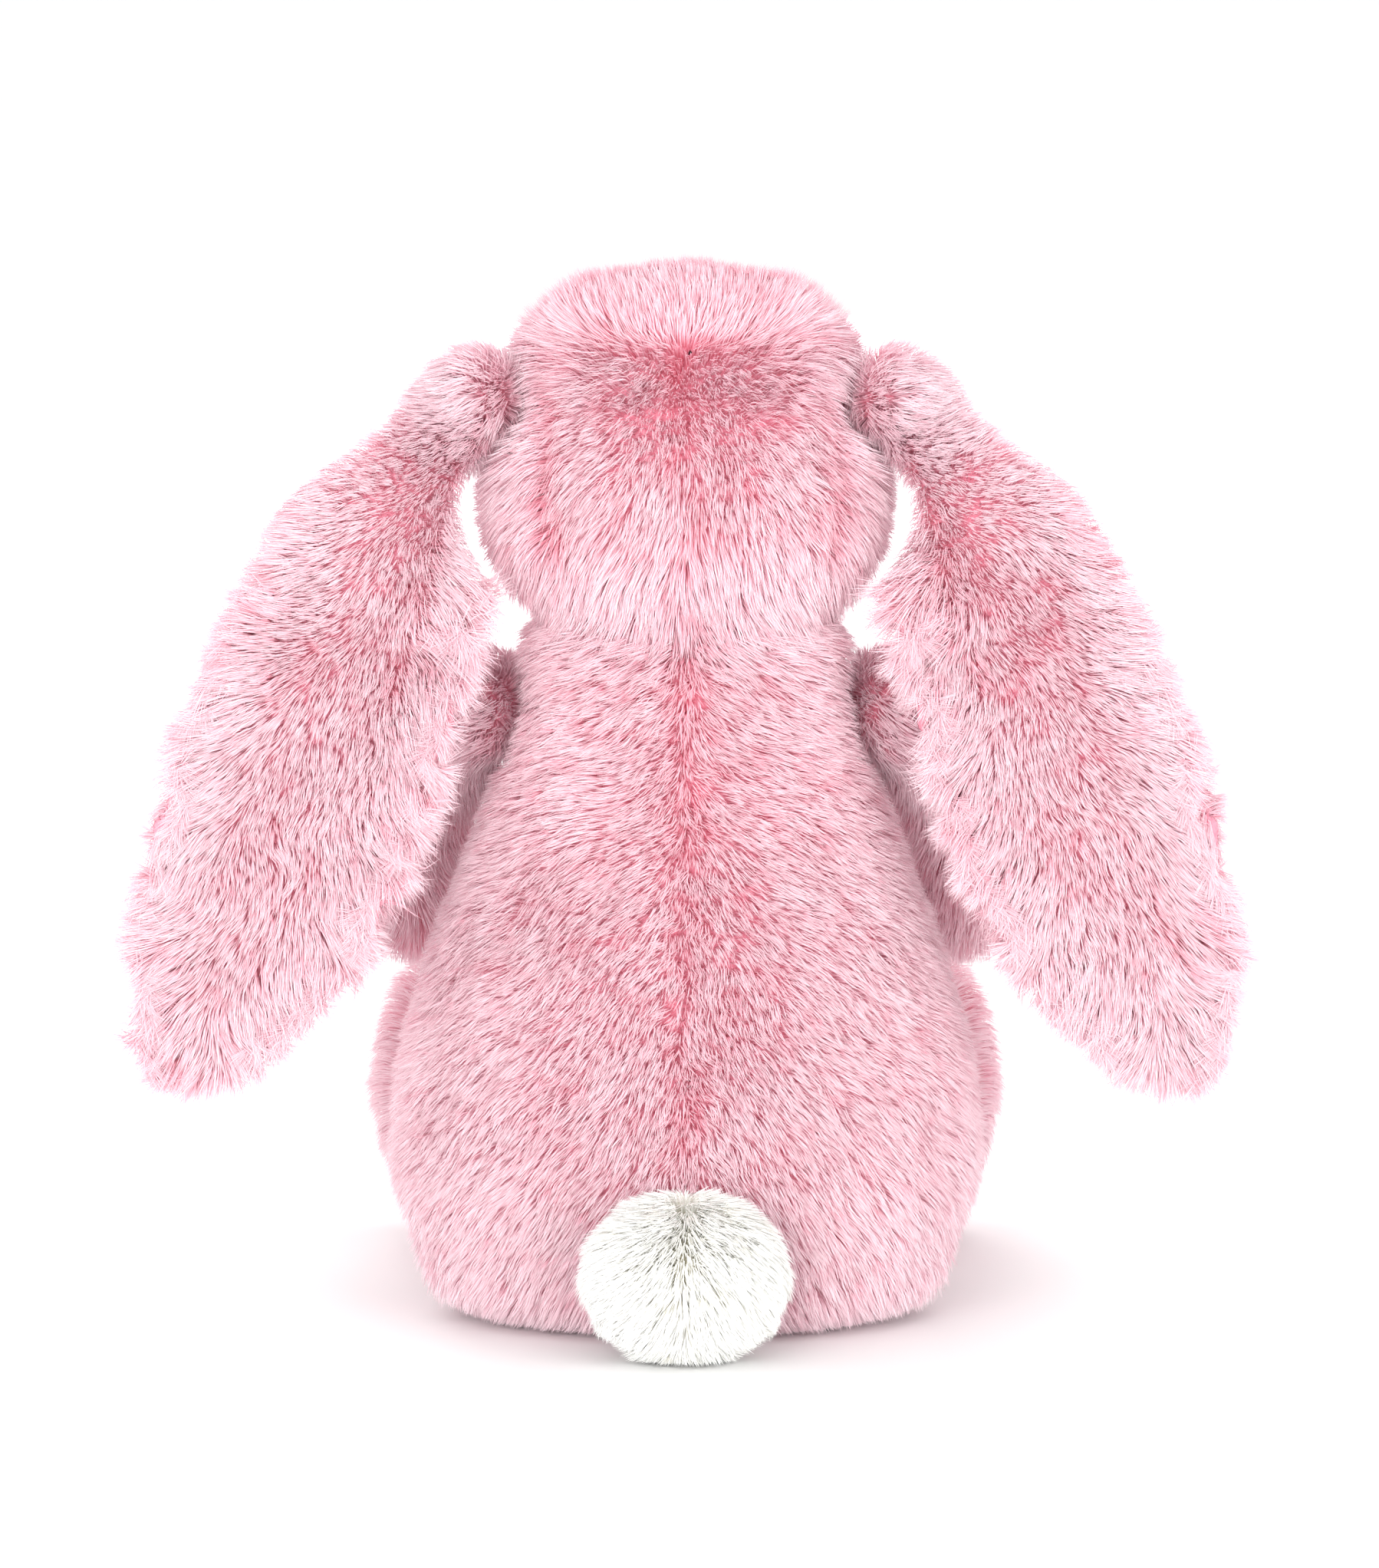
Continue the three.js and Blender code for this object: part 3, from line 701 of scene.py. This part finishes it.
PINK_STOPS = [
    (0.0, (0.89, 0.29, 0.39)), (0.2, (0.95, 0.49, 0.58)), (0.42, (0.965, 0.65, 0.725)),
    (0.65, (0.97, 0.755, 0.81)), (1.0, (0.975, 0.825, 0.865)),
]
LINING_STOPS = [
    (0.0, (0.89, 0.31, 0.41)), (0.2, (0.95, 0.51, 0.60)), (0.42, (0.965, 0.67, 0.74)),
    (0.65, (0.97, 0.775, 0.825)), (1.0, (0.975, 0.84, 0.88)),
]
WHITE_STOPS = [
    (0.0, (0.90, 0.83, 0.62)), (0.2, (0.95, 0.92, 0.80)), (0.42, (0.97, 0.96, 0.91)),
    (0.65, (0.98, 0.98, 0.955)), (1.0, (0.99, 0.99, 0.98)),
]

pink_pile = pile_material("pink_pile", PINK_STOPS, 0.12, (1.0, 0.72, 0.80))
lining_pile = pile_material("lining_pile", LINING_STOPS, 0.12, (1.0, 0.75, 0.82))
white_pile = pile_material("white_pile", WHITE_STOPS, 0.12, (1.0, 1.0, 0.95))
pink_backing = cloth_material("pink_backing", (0.80, 0.25, 0.35), (0.93, 0.40, 0.50), 1400, 0.6)
white_backing = cloth_material("white_backing", (0.60, 0.52, 0.36), (0.86, 0.82, 0.70), 1400, 0.6)
fibre = cloth_material("fibre", (0.78, 0.77, 0.73), (0.93, 0.93, 0.91), 700, 0.9)
pouch_weave = cloth_material("pouch_weave", (0.62, 0.60, 0.55), (0.82, 0.80, 0.75), 2200, 0.7)
thread = cloth_material("thread", (0.42, 0.045, 0.10), (0.66, 0.11, 0.20), 3200, 0.8, 0.55)
pellet_plastic = moulded_material("pellet_plastic", (0.70, 0.70, 0.68), (0.85, 0.85, 0.83), 0.35, 0.0, 500)
eye_plastic = moulded_material("eye_plastic", (0.006, 0.005, 0.005), (0.018, 0.012, 0.010), 0.12, 1.0, 90)
washer_plastic = moulded_material("washer_plastic", (0.75, 0.75, 0.74), (0.88, 0.88, 0.86), 0.4, 0.0, 300)

# ---------------------------------------------------------------- pieces of a stuffed part


def add_backing(node, form, panel, material, body):
    """One panel of backing cloth, a closed piece about a millimetre thick."""
    mine = (form.panel[form.triangles] == panel).sum(1) >= 2
    faces = form.triangles[mine]
    used, faces = np.unique(faces, return_inverse=True)
    mesh = mesh_from(node + "_backing", form.points[used], faces.reshape(-1, 3))
    ob = new_object(node + "_backing", mesh, material)
    thick = ob.modifiers.new("cloth", "SOLIDIFY")
    thick.thickness = 1.0 * MM
    thick.offset = -1
    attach(ob, body)
    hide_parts(node)


def add_pile(node, form, panel, material, body, width, density, pull, seed):
    """The pile on one panel."""
    mesh = grown_pile(node + "_pile", form, panel, width, density, pull, seed)
    ob = new_object(node + "_pile", mesh, material)
    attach(ob, body)


def add_part(form, body, seed, width=0.26, density=5.4, pull=0.16, materials=None):
    """Every panel of a part, pink unless materials says otherwise.

    A strand is width millimetres wide, density of them grow on a square millimetre, and pull draws each tuft
    together.
    """
    pink = (pink_pile, pink_backing, "pink_fur")
    for panel, node in enumerate(form.panels[:form.own]):
        pile, backing, slot = (materials or {}).get(node, pink)
        add_backing(node, form, panel, backing, body)
        add_pile(node, form, panel, pile, body, width, density, pull, seed + 10 * panel)


def add_filling(node, body, voxel, seed):
    """Loose fibre: the CAD filling's space, with lumps pressed into it."""
    mesh = modified(joined_nodes([node]), "REMESH", mode="VOXEL", voxel_size=voxel * MM)
    points, edges, triangles = points_of(mesh), edges_of(mesh), triangles_of(mesh)
    points = evened(points, edges, 6)
    lumps = 0.5 + 0.5 * wavy(points, 9, seed)
    points -= normals_of(points, triangles) * (0.2 + 1.1 * lumps)[:, None]
    bpy.data.meshes.remove(mesh)
    ob = new_object(node + "_fibre", mesh_from(node + "_fibre", points, triangles), fibre)
    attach(ob, body)
    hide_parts(node)


# ---------------------------------------------------------------- the stuffed parts

BACK_PANELS = ["body_back_left", "body_back_right"]
BODY_PANELS = [*BACK_PANELS, "body_belly", "body_seat"]
SIDE_PANELS = ["head_back_left", "head_back_right", "head_cheek_left", "head_cheek_right"]
HEAD_PANELS = [*SIDE_PANELS, "head_gusset"]
SIDES = (("left", 1), ("right", -1))


def sideways(x, width):
    """-1 on the toy's right and 1 on its left, changing smoothly over width at the middle."""
    return np.tanh(x / width)


def muzzle(p):
    """1 on the muzzle, where the pile is short."""
    return smooth(-30, -42, p[:, 1]) * smooth(176, 168, p[:, 2])


def make_body():
    """Combed down and out from the centre back seam, and out to the sides across the shoulders."""
    near = ["arm_left_outer", "arm_left_inner", "arm_right_outer", "arm_right_inner", "leg_left_outer",
            "leg_left_inner", "leg_right_outer", "leg_right_inner", "tail_left", "tail_right"]
    inside = ["body_filling", "neck_filling", "pouch_bottom", "pouch_top", "pellets", "head_filling"]
    form = Form(BODY_PANELS, inside, 4.0, even(3.8), 2.0, near, HEAD_PANELS)
    p, n = form.outer, form.normals
    high = smooth(78, 112, p[:, 2])
    on_back = 1 - 0.75 * smooth(0, -20, p[:, 1])
    out = sideways(p[:, 0], 8) * (0.55 + 0.75 * high) * on_back
    form.comb = tangent(np.stack([out, 0.15 * np.sign(p[:, 1]), -1.0 + 0.45 * high], 1), n)

    at_neck = smooth(126, 140, p[:, 2])
    round_seat = smooth(18, 6, p[:, 2]) * smooth(-0.95, -0.6, n[:, 2])
    form.above += 3.0 * at_neck
    form.above += 2.0 * round_seat

    form.tangle = 0.25 * smooth(95, 128, p[:, 2])
    # The seams are sewn with painted shade along them, most along the centre back.
    form.sew_all(2.2, 0.1)
    form.sew(*BACK_PANELS, 1.8, 0.3)
    form.tangle += 0.6 * form.near_seam(*BACK_PANELS, 5.5)
    # Painted shade: the upper back is a deeper pink.
    form.shade -= 0.11 * high
    # Painted light: the sides of the body are a little paler.
    form.shade += 0.03 * smooth(30, 55, np.abs(p[:, 0]))
    add_part(form, "torso", 100)


def comb_head(form, behind, crown):
    """Down behind, forward over the crown, and away from the nose on the face."""
    p = form.outer
    down = np.stack([0.35 * sideways(p[:, 0], 18), 0 * p[:, 0], -np.ones(len(p))], 1)
    forward = np.array([0.0, -1.0, 0.35])
    back_way = down * (1 - crown)[:, None] + forward * crown[:, None]
    face_way = unit(p - NOSE) + np.array([0, 0.4, 0])
    way = back_way * behind[:, None] + face_way * (1 - behind)[:, None]
    form.comb = tangent(way, form.normals)


def make_head():
    """Combed by comb_head, with a deep pink band behind the crown where the pile stands up, and painted shade
    on the crown.
    """
    near = ["ear_left_outer", "ear_left_lining", "ear_right_outer", "ear_right_lining"]

    def depth(p, _):
        return 3.8 - 1.8 * muzzle(p)

    form = Form(HEAD_PANELS, ["head_filling", "neck_filling"], 3.6, depth, 1.6, near)
    p, n = form.outer, form.normals
    behind = smooth(-8, 8, p[:, 1])
    crown = smooth(192, 203, p[:, 2])
    comb_head(form, behind, crown)

    band_height = smooth(172, 184, p[:, 2]) * smooth(203, 196, p[:, 2])
    band = band_height * smooth(33, 22, np.abs(p[:, 0] - 2)) * behind
    form.stand = 0.35 * band
    form.tangle = 0.5 * band
    # Painted shade: the crown is darker, and so is the back of the head low down over the neck.
    form.shade -= 0.25 * crown + 0.1 * smooth(172, 156, p[:, 2]) * behind

    over_ears = smooth(0.2, 0.6, np.abs(n[:, 0])) * smooth(182, 192, p[:, 2])
    on_cheeks = smooth(0.5, 0.9, np.abs(n[:, 0])) * smooth(182, 175, p[:, 2])
    over_neck = smooth(135, 141, p[:, 2]) * smooth(158, 148, p[:, 2]) * behind
    form.above -= 1.2 * muzzle(p)
    form.above += 3.7 * over_ears
    form.above += 2.5 * on_cheeks
    form.above += 3.6 * over_neck
    for _, side in SIDES:
        eye = np.array([EYE_X * side, FACE_Y - math.sqrt(FACE_DEPTH**2 - EYE_X**2), EYE_Z])
        form.above -= 3.5 * np.exp(-((np.linalg.norm(p - eye, axis=1) / 8.0) ** 2))

    # The seams are sewn with painted shade along them, most between the two back panels.
    form.sew_all(2.0, 0.15)
    form.sew("head_back_left", "head_back_right", 2.4, 0.3)
    # The darts part the pile, with painted shade along them.
    for line in HEAD_DARTS:
        form.part_at(line, behind, 2.4, 0.55)
    add_part(form, "head", 200)


def along_line(form, line, side, splay, lean):
    """Combs the pile along a limb's line.

    Where the limb is sewn on, its pile leans out and is thicker, and it is short on the inside.
    """
    mirror = np.array([side, 1, 1])
    way = line_direction(form.outer, line * mirror)
    root = smooth(26, 10, np.linalg.norm(form.outer - line[0] * mirror, axis=1))[:, None]
    way = way * (1 - root) + root * np.array(lean) * mirror
    form.above -= root[:, 0] * smooth(0.1, 0.7, -form.normals[:, 0] * side)
    form.thick += root[:, 0]
    form.comb = tangent(way, form.normals)
    aside = np.cross(form.normals, form.comb)
    form.comb = tangent(form.comb + splay * wavy(form.outer, 14, 3)[:, None] * aside, form.normals)


def make_ear(name, side):
    """Combed down the ear and out over its rim, fanning out from the crease at its root."""
    panels = [f"ear_{name}_outer", f"ear_{name}_lining"]
    root = EAR_LINE[0] * [side, 1, 1]

    def depth(p, n):
        return 2.0 + 1.4 * np.abs(n[:, 1]) + 1.8 * smooth(36, 16, np.linalg.norm(p - root, axis=1))

    form = Form(panels, [f"ear_{name}_wadding"], 3.0, depth, 1.2, SIDE_PANELS)
    along_line(form, EAR_LINE, side, 0.3, (1.0, 0.6, 0.1))
    p = form.outer
    away = np.linalg.norm(p - root, axis=1)

    # A long fringe lies out over the rim, flat and thick, and a little deeper in colour.
    free = smooth(18, 45, away)
    rim = np.exp(-((form.seam / 7.0) ** 2)) * free
    form.fringe(8.0, 1.3 * free)
    form.above += 3.8 * rim
    form.stand -= 0.6 * rim
    form.shade -= 0.14 * rim
    form.thick += rim

    # The pile is short just below the root, and long on the outside of the root itself.
    form.above -= 1.6 * smooth(38, 26, away) * smooth(10, 20, away)
    form.above += 2.0 * smooth(18, 8, away) * smooth(-0.3, 0.5, form.normals[:, 0] * side)
    # Painted light: the pile near the root is paler, against the shade that falls there.
    form.shade += 0.1 * smooth(45, 25, away)
    form.tangle += 0.25 * smooth(20, 8, away)

    # Beside the head it fans outwards from the middle, and is longer on the side that faces the head.
    off_middle = p[:, 0] * side - np.interp(p[:, 2], EAR_LINE[::-1, 2], EAR_LINE[::-1, 0])
    fan = smooth(105, 145, p[:, 2]) * smooth(-12, 14, off_middle) * smooth(4, 14, away)
    form.comb = tangent(form.comb + 1.3 * fan[:, None] * np.array([side, 0, 0.1]), form.normals)
    beside_head = smooth(130, 145, p[:, 2]) * smooth(4, -6, off_middle)
    form.above += 4.0 * beside_head * rim
    # The crease parts the pile, with painted shade along it.
    crease = [(x * side, z) for x, z in EAR_CREASE]
    form.part_at(crease, smooth(0, 6, p[:, 1]), 2.4, 0.3)
    lining = {panels[1]: (lining_pile, pink_backing, "pink_fur")}
    add_part(form, f"ear_{name}", 300 + 50 * (side < 0), density=6, materials=lining)


def make_arm(name, side):
    """Combed down the arm, and out to the side at the shoulder."""
    panels = [f"arm_{name}_outer", f"arm_{name}_inner"]
    near = [*BACK_PANELS, "body_belly"]
    form = Form(panels, [f"arm_{name}_filling"], 3.0, even(3.8), 1.0, near)
    along_line(form, ARM_LINE, side, 0.3, (0.9, 0.7, -0.35))
    # Painted shade along the seams.
    form.sew_all(1.8, 0.15)
    add_part(form, f"arm_{name}", 400 + 50 * (side < 0), density=5)


def make_leg(name, side):
    """Combed along the leg and down the sole, with longer pile over the toe."""
    panels = [f"leg_{name}_outer", f"leg_{name}_inner", f"leg_{name}_sole"]
    form = Form(panels, [f"leg_{name}_filling"], 3.0, even(4.0), 1.2, BODY_PANELS)
    along_line(form, LEG_LINE, side, 0.3, (0.6, -0.7, 0.3))
    p = form.outer
    foot = FOOT * [side, 1, 1]
    on_foot = smooth(-88, -98, p[:, 1])
    spread = 0.3 * unit((p - foot) * [1, 0, 1]) + np.array([0, 0, -0.7])
    form.comb = tangent(form.comb * (1 - on_foot)[:, None] + spread * on_foot[:, None], form.normals)
    form.above -= 0.8 * smooth(-108, -113, p[:, 1])
    form.above += 1.5 * smooth(44, 56, p[:, 2])
    # Painted shade along the seams.
    form.sew_all(2.0, 0.3)
    add_part(form, f"leg_{name}", 500 + 50 * (side < 0), density=4.6)


def make_tail():
    """A white ball of dense flat pile, combed down and out from its seam."""
    panels = ["tail_left", "tail_right"]
    form = Form(panels, ["tail_filling"], 2.6, even(2.8), 0.8, BACK_PANELS)
    across = sideways(form.outer[:, 0] - TAIL[0], 14)
    form.comb = tangent(np.stack([across, 0 * across, -0.7 + 0 * across], 1), form.normals)
    form.stand = np.full(len(across), -0.6)
    form.tangle = np.full(len(across), 0.15)
    form.above += 0.8
    # Painted shade along the seams.
    form.sew_all(2.4, 0.15)
    white = {panel: (white_pile, white_backing, "white_fur") for panel in panels}
    add_part(form, "torso", 600, width=0.34, density=11, pull=0.08, materials=white)


# ---------------------------------------------------------------- face


def lathed(rows, centre, axis, sides=48):
    """A closed turned solid: rows of (radius, height) from its foot to its top, about axis."""
    axis = unit(np.array(axis, float))
    side = unit(np.cross(axis, [0.3, 0.2, 1.0]))
    other = np.cross(axis, side)
    turns = np.linspace(0, 2 * math.pi, sides, endpoint=False)
    points, faces = [], []
    for radius, height in rows:
        circle = np.cos(turns)[:, None] * side + np.sin(turns)[:, None] * other
        points.extend(centre + axis * height + radius * circle)
    for row in range(len(rows) - 1):
        for k in range(sides):
            a, b = row * sides + k, row * sides + (k + 1) % sides
            faces.append((a, b, b + sides, a + sides))
    faces.append(tuple(range(sides - 1, -1, -1)))
    last = (len(rows) - 1) * sides
    faces.append(tuple(range(last, last + sides)))
    mesh = bpy.data.meshes.new("lathed")
    mesh.from_pydata((np.array(points) * MM).tolist(), [], faces)
    bm = bmesh.new()
    bm.from_mesh(mesh)
    bmesh.ops.recalc_face_normals(bm, faces=bm.faces)
    bm.to_mesh(mesh)
    bm.free()
    mesh.shade_smooth()
    return mesh


def make_eye(name, side):
    """A domed safety eye with a thin rim, and its shank through the backing."""
    reach = math.sqrt(FACE_DEPTH**2 - EYE_X**2)
    centre = np.array([EYE_X * side, FACE_Y - reach, EYE_Z])
    outward = np.array([EYE_X * side, -reach, 0.0])
    rows = [(1.5, -9.5), (1.6, -9.2), (1.6, -1.5), (3.2, -1.5), (4.7, -1.35), (5.0, -1.1), (5.0, -0.6)]
    for turn in np.linspace(0.08, math.pi / 2 - 0.03, 14):
        height = -0.6 + turn / 2 + (EYE_HEIGHT - 1.6) * math.sin(turn)
        rows.append((EYE_RADIUS * math.cos(turn), height))
    ob = new_object(f"eye_{name}_dome", lathed(rows, centre, outward), eye_plastic)
    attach(ob, "head")
    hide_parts(f"eye_{name}")


def tube(path, radius, sides=8):
    """Points and faces of a closed tube along a path, a little thinner at its ends."""
    path = np.array(path, float)
    ahead = unit(np.gradient(path, axis=0))
    side = unit(np.cross(ahead, [0.0, 1.0, 0.05]))
    other = np.cross(ahead, side)
    turns = np.linspace(0, 2 * math.pi, sides, endpoint=False)
    size = np.full(len(path), radius)
    size[[0, -1]] *= 0.45
    rings = path[:, None] + size[:, None, None] * (
        np.cos(turns)[None, :, None] * side[:, None] + np.sin(turns)[None, :, None] * other[:, None])
    points = np.concatenate([rings.reshape(-1, 3), path[[0, -1]]])
    faces = []
    for row in range(len(path) - 1):
        for k in range(sides):
            a, b = row * sides + k, row * sides + (k + 1) % sides
            faces += [(a, b, b + sides), (a, b + sides, a + sides)]
    last, first_hub, last_hub = (len(path) - 1) * sides, len(path) * sides, len(path) * sides + 1
    for k in range(sides):
        faces.append((first_hub, (k + 1) % sides, k))
        faces.append((last_hub, last + k, last + (k + 1) % sides))
    return points, np.array(faces)


def add_threads(name, paths, radius, node):
    """Stitches of one thickness along some paths, as one piece."""
    points, faces, start = [], [], 0
    for path in paths:
        p, f = tube(path, radius)
        points.append(p)
        faces.append(f + start)
        start += len(p)
    ob = new_object(name, mesh_from(name, np.concatenate(points), np.concatenate(faces)), thread)
    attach(ob, "head")
    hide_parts(node)


def make_nose():
    """Satin stitches laid side by side over a small oval."""
    paths = []
    for x in np.arange(-4.9, 5.0, 0.62):
        wide = math.sqrt(max(0.0, 1 - (x / (NOSE_SIZE[0] * 1.02)) ** 2))
        lift = math.sqrt(max(0.05, 1 - (x / (NOSE_SIZE[0] * 1.15)) ** 2))
        arc = []
        for turn in np.linspace(-1.45, 1.45, 13):
            arc.append([x, NOSE[1] - (NOSE_SIZE[1] - 0.2) * lift * math.cos(turn) + 0.6,
                        NOSE[2] + (NOSE_SIZE[2] - 0.1) * wide * math.sin(turn)])
        paths.append(arc)
    add_threads("nose_threads", paths, 0.40, "nose_stitching")


def make_mouth():
    """A short stitch below the nose and one to each side, drawn into the muzzle."""
    face = bvh_of(HEAD_PANELS + ["mouth_stitching"])

    def on_face(x, z):
        hit = face.ray_cast(Vector((x, -200, z)), Vector((0, 1, 0)))[0]
        return [x, (hit.y if hit is not None else -48.0) + 0.3, z]

    low = MOUTH_TOP - MOUTH_DROP
    paths = [[on_face(0, z) for z in np.linspace(MOUTH_TOP + 0.6, low, 8)]]
    for _, side in SIDES:
        arc = []
        for t in np.linspace(0, 1, 12):
            arc.append(on_face(side * MOUTH_SMILE * 1.25 * t, low - 2.2 * math.sin(math.pi * t * 0.62)))
        paths.append(arc)
    add_threads("mouth_threads", paths, 0.48, "mouth_stitching")


# ---------------------------------------------------------------- inside

PELLET_PITCH, PELLET_RADIUS, PELLET_FLATNESS = 2.9, 1.25, 0.8
PELLET_SEED = 11


def make_pouch():
    """The two discs of the pellet pouch, crinkled a little, and the pellets themselves."""
    for node in ("pouch_bottom", "pouch_top"):
        mesh = modified(joined_nodes([node]), "REMESH", mode="VOXEL", voxel_size=0.6 * MM)
        points, edges, triangles = points_of(mesh), edges_of(mesh), triangles_of(mesh)
        points = evened(points, edges, 8)
        points[:, 2] += 0.12 * wavy(points, 7, 21)
        bpy.data.meshes.remove(mesh)
        ob = new_object(node + "_cloth", mesh_from(node + "_cloth", points, triangles), pouch_weave)
        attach(ob, "torso")
        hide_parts(node)
    add_pellets()


def add_pellets():
    """Beads on a loose grid, kept where they fit inside the CAD heap."""
    low, high = (np.array(v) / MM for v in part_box("pellets"))
    tree = bvh_of(["pellets"])
    rng = np.random.default_rng(PELLET_SEED)
    rows = (np.arange(start, end, PELLET_PITCH) for start, end in zip(low, high))
    grid = np.stack(np.meshgrid(*rows, indexing="ij"), -1)
    spots = grid.reshape(-1, 3) + rng.uniform(-0.25, 0.25, (grid.size // 3, 3))
    bm = bmesh.new()
    for spot in spots:
        place, normal, _, far = tree.find_nearest(Vector(spot))
        if (Vector(spot) - place).dot(normal) < 0 and far > PELLET_PITCH / 2:
            made = bmesh.ops.create_icosphere(bm, subdivisions=1, radius=PELLET_RADIUS * MM)
            for vert in made["verts"]:
                flat = Vector((vert.co.x, vert.co.y, vert.co.z * PELLET_FLATNESS))
                vert.co = flat + Vector(spot * MM)
    mesh = bpy.data.meshes.new("pellet_beads")
    bm.to_mesh(mesh)
    bm.free()
    mesh.shade_smooth()
    ob = new_object("pellet_beads", mesh, pellet_plastic)
    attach(ob, "torso")
    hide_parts("pellets")


def make_fillings():
    """Every filling, with the size of its grid and the seed of its lumps."""
    add_filling("body_filling", "torso", 3.5, 31)
    add_filling("neck_filling", "neck", 2.2, 32)
    add_filling("head_filling", "head", 3.0, 33)
    add_filling("tail_filling", "torso", 1.8, 34)
    for name, _ in SIDES:
        add_filling(f"ear_{name}_wadding", f"ear_{name}", 1.2, 35)
        add_filling(f"arm_{name}_filling", f"arm_{name}", 1.8, 36)
        add_filling(f"leg_{name}_filling", f"leg_{name}", 2.2, 37)


def finish_washers():
    """The washers keep their CAD shape and get their plastic."""
    for name, _ in SIDES:
        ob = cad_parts[f"eye_washer_{name}"]
        ob.data.materials.clear()
        ob.data.materials.append(washer_plastic)


# ---------------------------------------------------------------- stage


def make_stage():
    """A white floor and world, with soft lights behind the toy and one in front."""
    scene = bpy.context.scene
    scene.view_settings.view_transform = "Standard"
    scene.view_settings.look = "None"
    scene.cycles.max_bounces = 12
    scene.cycles.diffuse_bounces = 6
    material, tree, principled = shader("pale_floor", 0.9)
    principled.inputs["Base Color"].default_value = (1, 1, 1, 1)
    size = 12000.0
    corners = np.array([[-size, -size, 0], [size, -size, 0], [size, size, 0], [-size, size, 0]])
    floor = new_object("floor", mesh_from("floor", corners, np.array([[0, 1, 2, 3]])), material)

    world = bpy.data.worlds.new("studio")
    scene.world = world
    world.use_nodes = True
    world.node_tree.nodes["Background"].inputs["Color"].default_value = (1, 1, 1, 1)
    world.node_tree.nodes["Background"].inputs["Strength"].default_value = 1.0

    aim = Vector((0, 0, 0.1))
    for name, place, size, power in (
        ("key", (0.5, 1.6, 0.4), 0.9, 15.0),
        ("fill", (-0.9, 1.2, 0.3), 1.0, 10.0),
        ("front", (0.3, -1.6, 0.5), 1.0, 13.0),
    ):
        light = bpy.data.lights.new(name, "AREA")
        light.size = size
        light.energy = power
        ob = bpy.data.objects.new(name, light)
        ob.location = place
        ob.rotation_mode = "QUATERNION"
        ob.rotation_quaternion = (aim - Vector(place)).to_track_quat("-Z", "Y")
        scene.collection.objects.link(ob)


def make_camera():
    """A long lens behind the toy, a little above its middle."""
    elevation = math.radians(8)
    distance, field = 3.2, 0.3066
    aim = Vector((-0.00075, 0.038, 0.1113))
    back = Vector((0, math.cos(elevation), math.sin(elevation)))
    lens = bpy.data.cameras.new("camera")
    lens.sensor_width = 36
    lens.lens = 36 * distance / field
    lens.clip_start, lens.clip_end = 0.05, 50
    camera = bpy.data.objects.new("camera", lens)
    camera.location = aim + back * distance
    camera.rotation_mode = "QUATERNION"
    camera.rotation_quaternion = (-back).to_track_quat("-Z", "Y")
    bpy.context.scene.collection.objects.link(camera)
    bpy.context.scene.camera = camera


make_stage()
make_camera()
make_body()
make_head()
for side_name, side_sign in SIDES:
    make_ear(side_name, side_sign)
    make_arm(side_name, side_sign)
    make_leg(side_name, side_sign)
    make_eye(side_name, side_sign)
make_tail()
make_nose()
make_mouth()
make_pouch()
make_fillings()
finish_washers()
